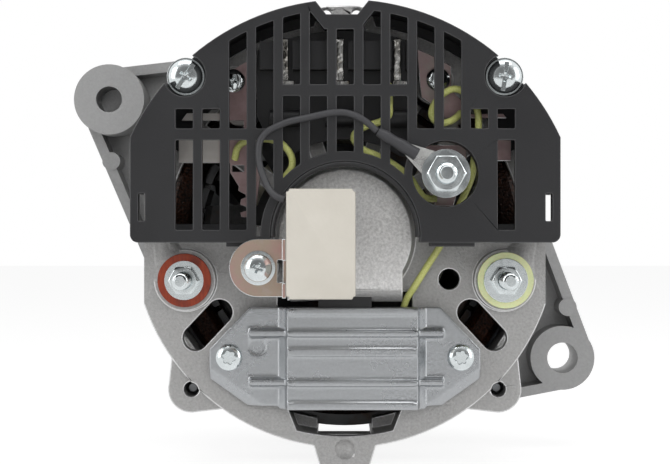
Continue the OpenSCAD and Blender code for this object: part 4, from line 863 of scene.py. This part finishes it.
SLEEVING_R = 1.05
sleeve_cloth = sleeving()
regulator_route = [
    (34.3, -125.3, 36.6), (33.2, -128.2, 35.4), (31, -129.8, 34), (28.2, -129.9, 33.6), (26, -129.3, 35.2),
    (25.9, -129, 37.8), (27.6, -129, 40.7), (30, -129, 42.8), (33, -129, 43.7), (36.4, -129, 41.8),
    (38.9, -129, 38.5), (39.7, -129, 33), (39, -128.6, 27), (38.3, -127.6, 22), (37.9, -126, 18),
    (36.5, -124, 14), (34.6, -122, 9.8), (32, -120, 4), (29, -118.5, -2.5), (25, -117, -9), (21, -116, -15.5),
    (18.6, -114.5, -19.5), (17.6, -111.7, -23.5), (16.6, -110.4, -26.4), (14.5, -110, -27.4)]
left_route = [
    (-33, -125.3, 23), (-31.5, -127.5, 27), (-27, -128.6, 28.6), (-21, -129, 28.4), (-17, -129, 25.5),
    (-15.7, -129, 21.5), (-17.5, -128.5, 18), (-20, -128, 15.5)]
middle_route = [
    (13.1, -126.6, 44.9), (13.1, -129.6, 43), (13.1, -131.4, 39), (12.8, -131.4, 35.6), (10.4, -131.4, 33.9),
    (5.9, -131.4, 32.4), (2.6, -131.4, 29.4), (4.4, -131, 26.4), (9.6, -130, 23.8), (14.8, -129.4, 21),
    (19.6, -128.4, 17), (22, -127, 13.4), (24, -125.8, 11.4), (27.4, -125.3, 11.2)]
for name, route, node in (("regulator_wire", regulator_route, "regulator_lead"),
                          ("left_wire", left_route, "rectifier_leads"),
                          ("middle_wire", middle_route, "rectifier_leads")):
    fit(wire(name, route, SLEEVING_R), sleeve_cloth, "housing", "wire_insulation", node)


# Rear cover
# A half-moon moulding in black glass-filled nylon with the grille over the
# rectifier, held by two screws and by clips on the bracket.
cover_nylon = moulded("black_nylon", (0.013, 0.013, 0.0142, 1), 0.46, 0.00005, 1500.0)
# The cover's rounded edges take a lighter nylon: a painted highlight along its rims.
painted_highlight_nylon = moulded("painted_highlight_nylon", (0.04, 0.04, 0.042, 1), 0.36, 0.00003, 1500.0)
fit(softened("rear_cover", "cover_moulding", 0.25, 60, free=True), cover_nylon, "housing", "cover_plastic",
    "rear_cover", edges=painted_highlight_nylon)


def swept(profile, name, turn, sweep, steps):
    """Sweep the flat profile about the Y axis, from turn round by sweep degrees."""
    profile.name = name
    bpy.ops.object.transform_apply(location=True, rotation=True, scale=True)
    bpy.ops.object.mode_set(mode="EDIT")
    bpy.ops.mesh.select_all(action="SELECT")
    bpy.ops.mesh.spin(steps=steps, angle=math.radians(sweep), center=(0, 0, 0), axis=(0, 1, 0))
    bpy.ops.mesh.select_all(action="SELECT")
    bpy.ops.mesh.normals_make_consistent(inside=False)
    bpy.ops.object.mode_set(mode="OBJECT")
    profile.data.transform(Matrix.Rotation(math.radians(-turn), 4, "Y"))
    return profile


# The ledges and lips below are dark nylon pieces set where there is only shade, at the tops of the grille's
# columns: painted shade.
LIP_BACK = -113.9
LIP_FRONT = -112.1
LEDGE = (64.6, 68.2, -110.6, -109.4)
LIP = (56, 67, LIP_BACK, LIP_FRONT)
for name, (r_from, r_to, y_from, y_to), turn, sweep in (
        ("painted_shade_ledge_right", LEDGE, 54.5, 28.5), ("painted_shade_ledge_left", LEDGE, 97, 28.5),
        ("painted_shade_lip_right", LIP, 27, 18), ("painted_shade_lip_left", LIP, 135, 18)):
    bpy.ops.object.select_all(action="DESELECT")
    bpy.ops.mesh.primitive_plane_add(size=1, location=((r_from + r_to) / 2 * MM, (y_from + y_to) / 2 * MM, 0))
    bpy.context.object.scale = ((r_to - r_from) * MM, (y_to - y_from) * MM, 1)
    ledge = swept(bpy.context.object, name, turn, sweep, 14)
    round_over(ledge, 0.2)
    fit(ledge, cover_nylon, "housing", "cover_plastic")
# The sills are dark nylon pieces set where there is only shade, at the bottoms of the side slots: painted
# shade that keeps light from showing there.
SILL_FOOT = -1.6
SILL_TOP = 3.7
for name, left, right in (("painted_shade_sill_left", -53.5, -29.5), ("painted_shade_sill_right", 45.5, 57.5)):
    sill = block(name, (left, LIP_BACK, SILL_FOOT), (right, LIP_FRONT, SILL_TOP))
    round_over(sill, 0.3)
    fit(sill, cover_nylon, "housing", "cover_plastic")
# The bead is partly the cover's own rim and partly a dark piece over the bracket's cone: painted shade for
# the shadow gap round the hub.
BEAD_R = 0.75
BEAD_RING_R = 21.2
BEAD_Y = -139.5
bpy.ops.object.select_all(action="DESELECT")
bpy.ops.mesh.primitive_circle_add(vertices=16, radius=BEAD_R * MM, fill_type="NGON",
                                  location=(BEAD_RING_R * MM, BEAD_Y * MM, 0))
bead = swept(bpy.context.object, "cover_rim_bead_and_painted_shade", -1, 182, 72)
round_over(bead, 0.15, 50)
fit(bead, cover_nylon, "housing", "cover_plastic")


# Cover screws
# Two zinc-plated pan-head screws with captive washers, driven by slot or cross,
# in the pockets at the cover's corners.
cover_screw = pan_head("cover_screw", BOLT_R, -102.5, -134, 5, 3, 5.6, slot=True)
for screw in placed(cover_screw, [("cover_screw_left", -BOLT_SPOT, BOLT_SPOT, -55),
                                  ("cover_screw_right", BOLT_SPOT, BOLT_SPOT, 98)]):
    fit(screw, zinc, "housing", "zinc_steel", "cover_screws")


# Output terminal
# A long zinc-plated M6 stud from the right heat sink through a spacer, with a
# flanged nut on the capacitor's eye.
def nut_on(node, name, across, seat, top, reach, countersink):
    """A CAD nut copied with its corners turned down and its bore opened out; in mm.

    Seat and top are the y of its ends, reach its widest radius and countersink that of its bore's mouth.
    """
    centre = [(a + b) / 2 / MM for a, b in zip(*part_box(node))]
    piece = softened(node, name, 0.01, 89)
    piece.data.transform(Matrix.Translation((-centre[0] * MM, 0, -centre[2] * MM)))
    edge_r = across * 0.47
    tool = turned("corner_tool", [(seat + 0.5, reach), (top + (reach - edge_r) / math.sqrt(3), reach),
                                  (top - 0.02, edge_r)], 64)
    shaped_by(piece, tool, "INTERSECT")
    cone = [(top + 0.55, countersink - 0.55), (top - 0.1, countersink + 0.1)]
    shaped_by(piece, turned("bore_tool", cone, 48))
    round_over(piece, 0.12, 32)
    piece.data.transform(Matrix.Translation((centre[0] * MM, 0, centre[2] * MM)))
    return piece


OUTPUT_SPOT = (29.3, 18.2)
output_stud = threaded("output_thread", 3.0, 1.0, -146.5, -150.6,
                       [(-118.5, 4.6), (-119, 5), (-121, 5), (-121, 2.68), (-146, 2.68), (-148.25, 2.4),
                        (-150.5, 2.4), (-151.2, 1.9)])
output_stud = placed(output_stud, [("output_bolt", *OUTPUT_SPOT, 0)])[0]
round_over(output_stud, 0.1, 50)
fit(output_stud, zinc, "housing", "zinc_steel", "output_stud")
fit(softened("output_spacer", "output_distance_piece", 0.25), zinc, "housing", "zinc_steel", "output_spacer")
output_nut = nut_on("output_nut", "output_flange_nut", 10, -142.6, -148.2, 7.6, 3.2)
fit(output_nut, zinc, "housing", "zinc_steel", "output_nut")


# Exciter terminal
# A zinc-plated M5 stud insulated from the bracket by a red vulcanised fibre
# washer, with a flanged nut.
def fibre():
    material, shader, place = new_finish("red_fibre", (0.29, 0.036, 0.008, 1), 0.38)
    threads = place.noise(1.0, 4.0, 0.6, (1500.0, 500.0, 260.0))
    blotches = place.noise(210.0, 4.0, 0.6)
    red = threads.between(0.3, 0.7).tint((0.2, 0.02, 0.006, 1), (0.32, 0.044, 0.008, 1))
    link(blotches.between(0.5, 0.75).tint(red, (0.12, 0.022, 0.012, 1)), shader, "Base Color")
    link(0.3 + blotches.between(0.3, 0.7) * 0.22, shader, "Roughness")
    relief(place, threads, 0.00008, shader)
    return material


def small_stud(name, spot, end):
    """An M5 stud with its head inside the bracket and its thread out to this y, at an (x, z) spot; in mm."""
    head = [(-105.5, 3.7), (-105.8, 4), (-108, 4), (-108, 2.24)]
    core = [(end + 16.3, 2.24), (end + 14.9, 2.02), (end + 0.7, 2.02), (end, 1.5)]
    stud = threaded(name + "_thread", 2.5, 0.8, end + 16.1, end + 0.6, head + core)
    stud = placed(stud, [(name, *spot, 0)])[0]
    round_over(stud, 0.08, 50)
    return stud


EXCITER_SPOT = (-48.5, -13.4)
fit(softened("exciter_insulator", "red_washer", 0.3), fibre(), "housing", "red_fibre", "exciter_insulator")
fit(small_stud("exciter_bolt", EXCITER_SPOT, -138.9), zinc, "housing", "zinc_steel", "exciter_stud")
exciter_nut = nut_on("exciter_nut", "exciter_flange_nut", 8, -119.4, -123.9, 6.4, 2.7)
fit(exciter_nut, zinc, "housing", "zinc_steel", "exciter_nut")


# Phase terminal
# The same stud on the right, insulated by a translucent pale green nylon washer,
# with a plain washer and a plain hexagon nut.
PHASE_SPOT = (48.5, -13.4)
pale_nylon = moulded("pale_nylon", (0.6, 0.635, 0.36, 1), 0.26, 0.00002)
pale_nylon.node_tree.nodes["Principled BSDF"].inputs["Subsurface Weight"].default_value = 0.25
pale_nylon.node_tree.nodes["Principled BSDF"].inputs["Subsurface Scale"].default_value = 0.001
fit(softened("phase_insulator", "pale_washer", 0.35), pale_nylon, "housing", "pale_insulator",
    "phase_insulator")
fit(softened("phase_washer", "phase_plain_washer", 0.2), zinc, "housing", "zinc_steel", "phase_washer")
fit(small_stud("phase_bolt", PHASE_SPOT, -139.9), zinc, "housing", "zinc_steel", "phase_stud")
phase_nut = nut_on("phase_nut", "phase_hexagon_nut", 8, -120.4, -124.9, 5.2, 2.7)
fit(phase_nut, zinc, "housing", "zinc_steel", "phase_nut")


# Regulator
# A pressure die-cast plate with five ridges over the block of electronics; its
# two screws hold it and the black brush holder in the bracket.
regulator_alloy = cast_alloy("bright_alloy", grey(0.52, -0.03), grey(0.43, -0.03), 0.00008, 0.31, 0.85)
PLATE_FACE = -118
PLATE_BACK = -114.6
PLATE_CORNER = ((40.9, -43.2), (29.4, -51.3), (21, -51.3), (21, -38.4), (30, -38.4), (40.9, -41))
FLANK = 3.6
FLANK_X = 35.2
FLANK_Z = -47.3
FLANK_SLOPE = 35.25
BLOCK_TOP = -124
BLOCK_X = (-17.4, 21.9)
BLOCK_Z = (-52.2, -21.6)
WEB_X = (-28.6, 29.6)
# Each ridge has its z, its width and its rise above the block.
RIDGES = ((-22.7, 1.6, 0.5), (-29.3, 1.8, 1.2), (-34.9, 2.2, 0.5), (-44.1, 1.8, 1.2), (-50.9, 1.8, 0.5))


def prism(name, outline, axis, start, end):
    """A flat outline in mm drawn out along axis 0, 1 or 2."""
    bpy.ops.object.select_all(action="DESELECT")
    bpy.ops.mesh.primitive_circle_add(vertices=len(outline), fill_type="NGON")
    made = bpy.context.object
    made.name = name
    for vertex, spot in zip(made.data.vertices, outline):
        vertex.co[axis] = start * MM
        for across, value in zip([k for k in range(3) if k != axis], spot):
            vertex.co[across] = value * MM
    stretch = [0, 0, 0]
    stretch[axis] = (end - start) * MM
    bpy.ops.object.mode_set(mode="EDIT")
    bpy.ops.mesh.select_all(action="SELECT")
    bpy.ops.mesh.extrude_region_move(TRANSFORM_OT_translate={"value": stretch})
    bpy.ops.mesh.select_all(action="SELECT")
    bpy.ops.mesh.normals_make_consistent(inside=False)
    bpy.ops.object.mode_set(mode="OBJECT")
    made.select_set(False)
    return made


def flank_tool(side):
    """A square bar along a lower corner of the plate, on its edge, that cuts the flank's slope."""
    tool = block("flank_tool", (-16, -FLANK / 2, -FLANK / 2), (16, FLANK / 2, FLANK / 2))
    spot = Matrix.Translation((side * FLANK_X * MM, PLATE_FACE * MM, FLANK_Z * MM))
    along = Matrix.Rotation(math.radians(-FLANK_SLOPE * side), 4, "Y")
    tool.data.transform(spot @ along @ Matrix.Rotation(math.radians(45), 4, "X"))
    return tool


def die_cast(piece, grid, rounds):
    """Run every edge and corner of a piece soft, as a die leaves them, and its lumps into one; grid in mm."""
    bpy.ops.object.select_all(action="DESELECT")
    piece.select_set(True)
    bpy.context.view_layer.objects.active = piece
    skin = piece.modifiers.new("skin", "REMESH")
    skin.mode = "VOXEL"
    skin.voxel_size = grid * MM
    soft = piece.modifiers.new("soft", "SMOOTH")
    soft.factor = 0.5
    soft.iterations = rounds
    for step in ("skin", "soft"):
        bpy.ops.object.modifier_apply(modifier=step)
    bpy.ops.object.shade_smooth()
    piece.select_set(False)
    return piece


casting = bpy.data.objects.new("regulator_casting", nodes["regulator_heatsink"].data.copy())
bpy.context.scene.collection.objects.link(casting)
lumps = []
for side in (-1, 1):
    shaped_by(casting, flank_tool(side))
    corner = [(side * x, z) for x, z in PLATE_CORNER]
    lumps.append(shaped_by(prism("plate_corner", corner, 1, PLATE_FACE, PLATE_BACK), flank_tool(side)))
for side, x in zip((-1, 1), BLOCK_X):
    profile = [(2.6, PLATE_FACE + 0.6), (2.6, PLATE_FACE - 0.1), (0.5, PLATE_FACE - 2.5), (0, BLOCK_TOP),
               (-1.5, BLOCK_TOP), (-1.5, PLATE_FACE + 0.6)]
    wall = [(x + side * out, y) for out, y in profile]
    lumps.append(prism("block_wall", wall, 2, *BLOCK_Z))
for z, width, rise in RIDGES:
    half = width / 2
    ridge = [(BLOCK_TOP + 0.5, z - half), (BLOCK_TOP - rise, z - half + 0.25),
             (BLOCK_TOP - rise, z + half - 0.25), (BLOCK_TOP + 0.5, z + half)]
    lumps.append(prism("ridge", ridge, 0, BLOCK_X[0] + 0.05, BLOCK_X[1] - 0.05))
for z, width, rise in RIDGES[1:4:2]:
    web = [(PLATE_FACE + 0.6, z - 1.6), (PLATE_FACE, z - 1.6), (PLATE_FACE - 1.9, z - 0.7),
           (PLATE_FACE - 1.9, z + 0.7), (PLATE_FACE, z + 1.6), (PLATE_FACE + 0.6, z + 1.6)]
    lumps.append(prism("rib_web", web, 0, *WEB_X))
fit(die_cast(joined(casting, *lumps), 0.3, 6), regulator_alloy, "housing", "regulator_casting",
    "regulator_heatsink")
regulator_screw = pan_head("regulator_screw", 2, -109.5, -118, 4, 2.4, star=True)
for screw in placed(regulator_screw, [("regulator_screw_left", -35, -36.7, 15),
                                      ("regulator_screw_right", 35, -36.7, 50)]):
    fit(screw, zinc, "housing", "zinc_steel", "regulator_screws")
fit(softened("brush_holder", "brush_box", 0.3), black_moulding, "housing", "holder_plastic", "brush_holder")


# Brushes
# Two carbon-copper brushes, each pushed against its slip ring by a coil spring; the springs are fixed to the
# housing and keep their drawn shape.
carbon = moulded("brush_carbon", (0.03, 0.027, 0.025, 1), 0.5, 0.00006, 2600.0)
fit(softened("brush_inner", "carbon_brush_inner", 0.2), carbon, "inner_brush", "brush_carbon", "brush_inner")
fit(softened("brush_outer", "carbon_brush_outer", 0.2), carbon, "outer_brush", "brush_carbon", "brush_outer")
spring_steel = plated("spring_wire", (0.5, 0.5, 0.5, 1), 0.26)
for side in ("inner", "outer"):
    coil_spring = bpy.data.objects.new("coil_spring_" + side, nodes["brush_spring_" + side].data.copy())
    bpy.context.scene.collection.objects.link(coil_spring)
    fit(coil_spring, spring_steel, "housing", "spring_steel", "brush_spring_" + side)
    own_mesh(coil_spring)


# Capacitor
# A suppression capacitor in a cream moulded box, in a tinted sheet bracket under
# one screw on the pillar.
def cream_box():
    material, shader, place = new_finish("cream_shell", (0.62, 0.585, 0.52, 1), 0.36)
    mottle = place.noise(55.0, 5.0, 0.6)
    fine = place.noise(900.0, 3.0)
    smudge = place.noise(28.0, 3.0, 0.6)
    cream = mottle.between(0.3, 0.7).tint((0.53, 0.5, 0.44, 1), (0.59, 0.56, 0.5, 1))
    link((smudge.between(0.62, 0.8) * 0.6).tint(cream, (0.47, 0.43, 0.36, 1)), shader, "Base Color")
    link(0.28 + fine.between(0.3, 0.7) * 0.14, shader, "Roughness")
    relief(place, fine * 0.4 + mottle * 0.6, 0.00006, shader)
    return material


tab_film = [(0.0, (0.47, 0.28, 0.26, 1)), (0.45, (0.52, 0.35, 0.31, 1)), (0.75, (0.47, 0.38, 0.3, 1)),
            (1.0, (0.52, 0.43, 0.41, 1))]
tab_sheet = tinted_sheet("brown_pink_sheet", tab_film, 0.36)
fit(softened("capacitor_body", "capacitor_box", 0.6, segments=3), cream_box(), "housing", "capacitor_shell",
    "capacitor_body")
# The bracket's rounded edges take bright zinc: a painted highlight along its rims.
fit(softened("capacitor_bracket", "capacitor_clip", 0.2), tab_sheet, "housing", "passivated_sheet",
    "capacitor_bracket", edges=zinc)
capacitor_screw = pan_head("capacitor_fixing", BOLT_R, -130.3, -142.4, 4.1, 2.7, washer_r=5.1)
for screw in placed(capacitor_screw, [("capacitor_fixing_screw", -25.4, -9.3, 25)]):
    fit(screw, zinc, "housing", "zinc_steel", "capacitor_screw")


# Capacitor lead
# A thin grey rubber lead over the grille, a lumpy shrink sleeve and a tinned eye
# under the output nut.
lead_route = [(-17.5, -150, 10.5), (-20, -149.5, 11.5), (-23, -147, 15.5), (-25.2, -144, 25),
              (-24, -143.4, 29), (-19, -143.2, 32.3), (-10.3, -143.2, 34.6), (-1.5, -143.2, 36),
              (2, -143.2, 35.4), (5.7, -143.2, 33.5), (9.2, -143.2, 30.6)]
sleeve_route = [(9.5, -143.2, 30.4), (11.9, -143.2, 29), (14.3, -143.2, 27.6), (16.6, -143.0, 26.3),
                (18.9, -142.6, 24.9), (20.7, -142.3, 23.8)]
rubber = moulded("grey_rubber", (0.034, 0.034, 0.037, 1), 0.55, 0.00005, 900.0)
fit(wire("thin_lead", lead_route, 1.0), rubber, "housing", "lead_rubber", "capacitor_lead")
sleeve = wire("shrink_sleeve", sleeve_route, 1.8, (0.72, 0.97, 0.86, 1.05, 1.0, 1.12))
fit(sleeve, rubber, "housing", "lead_rubber", "lead_sleeve")
tin = plated("tinned_metal", (0.8, 0.8, 0.78, 1), 0.3, 0.00008)
fit(softened("ring_terminal", "tinned_eye", 0.15), tin, "housing", "tinned_metal", "ring_terminal")

bpy.context.view_layer.update()
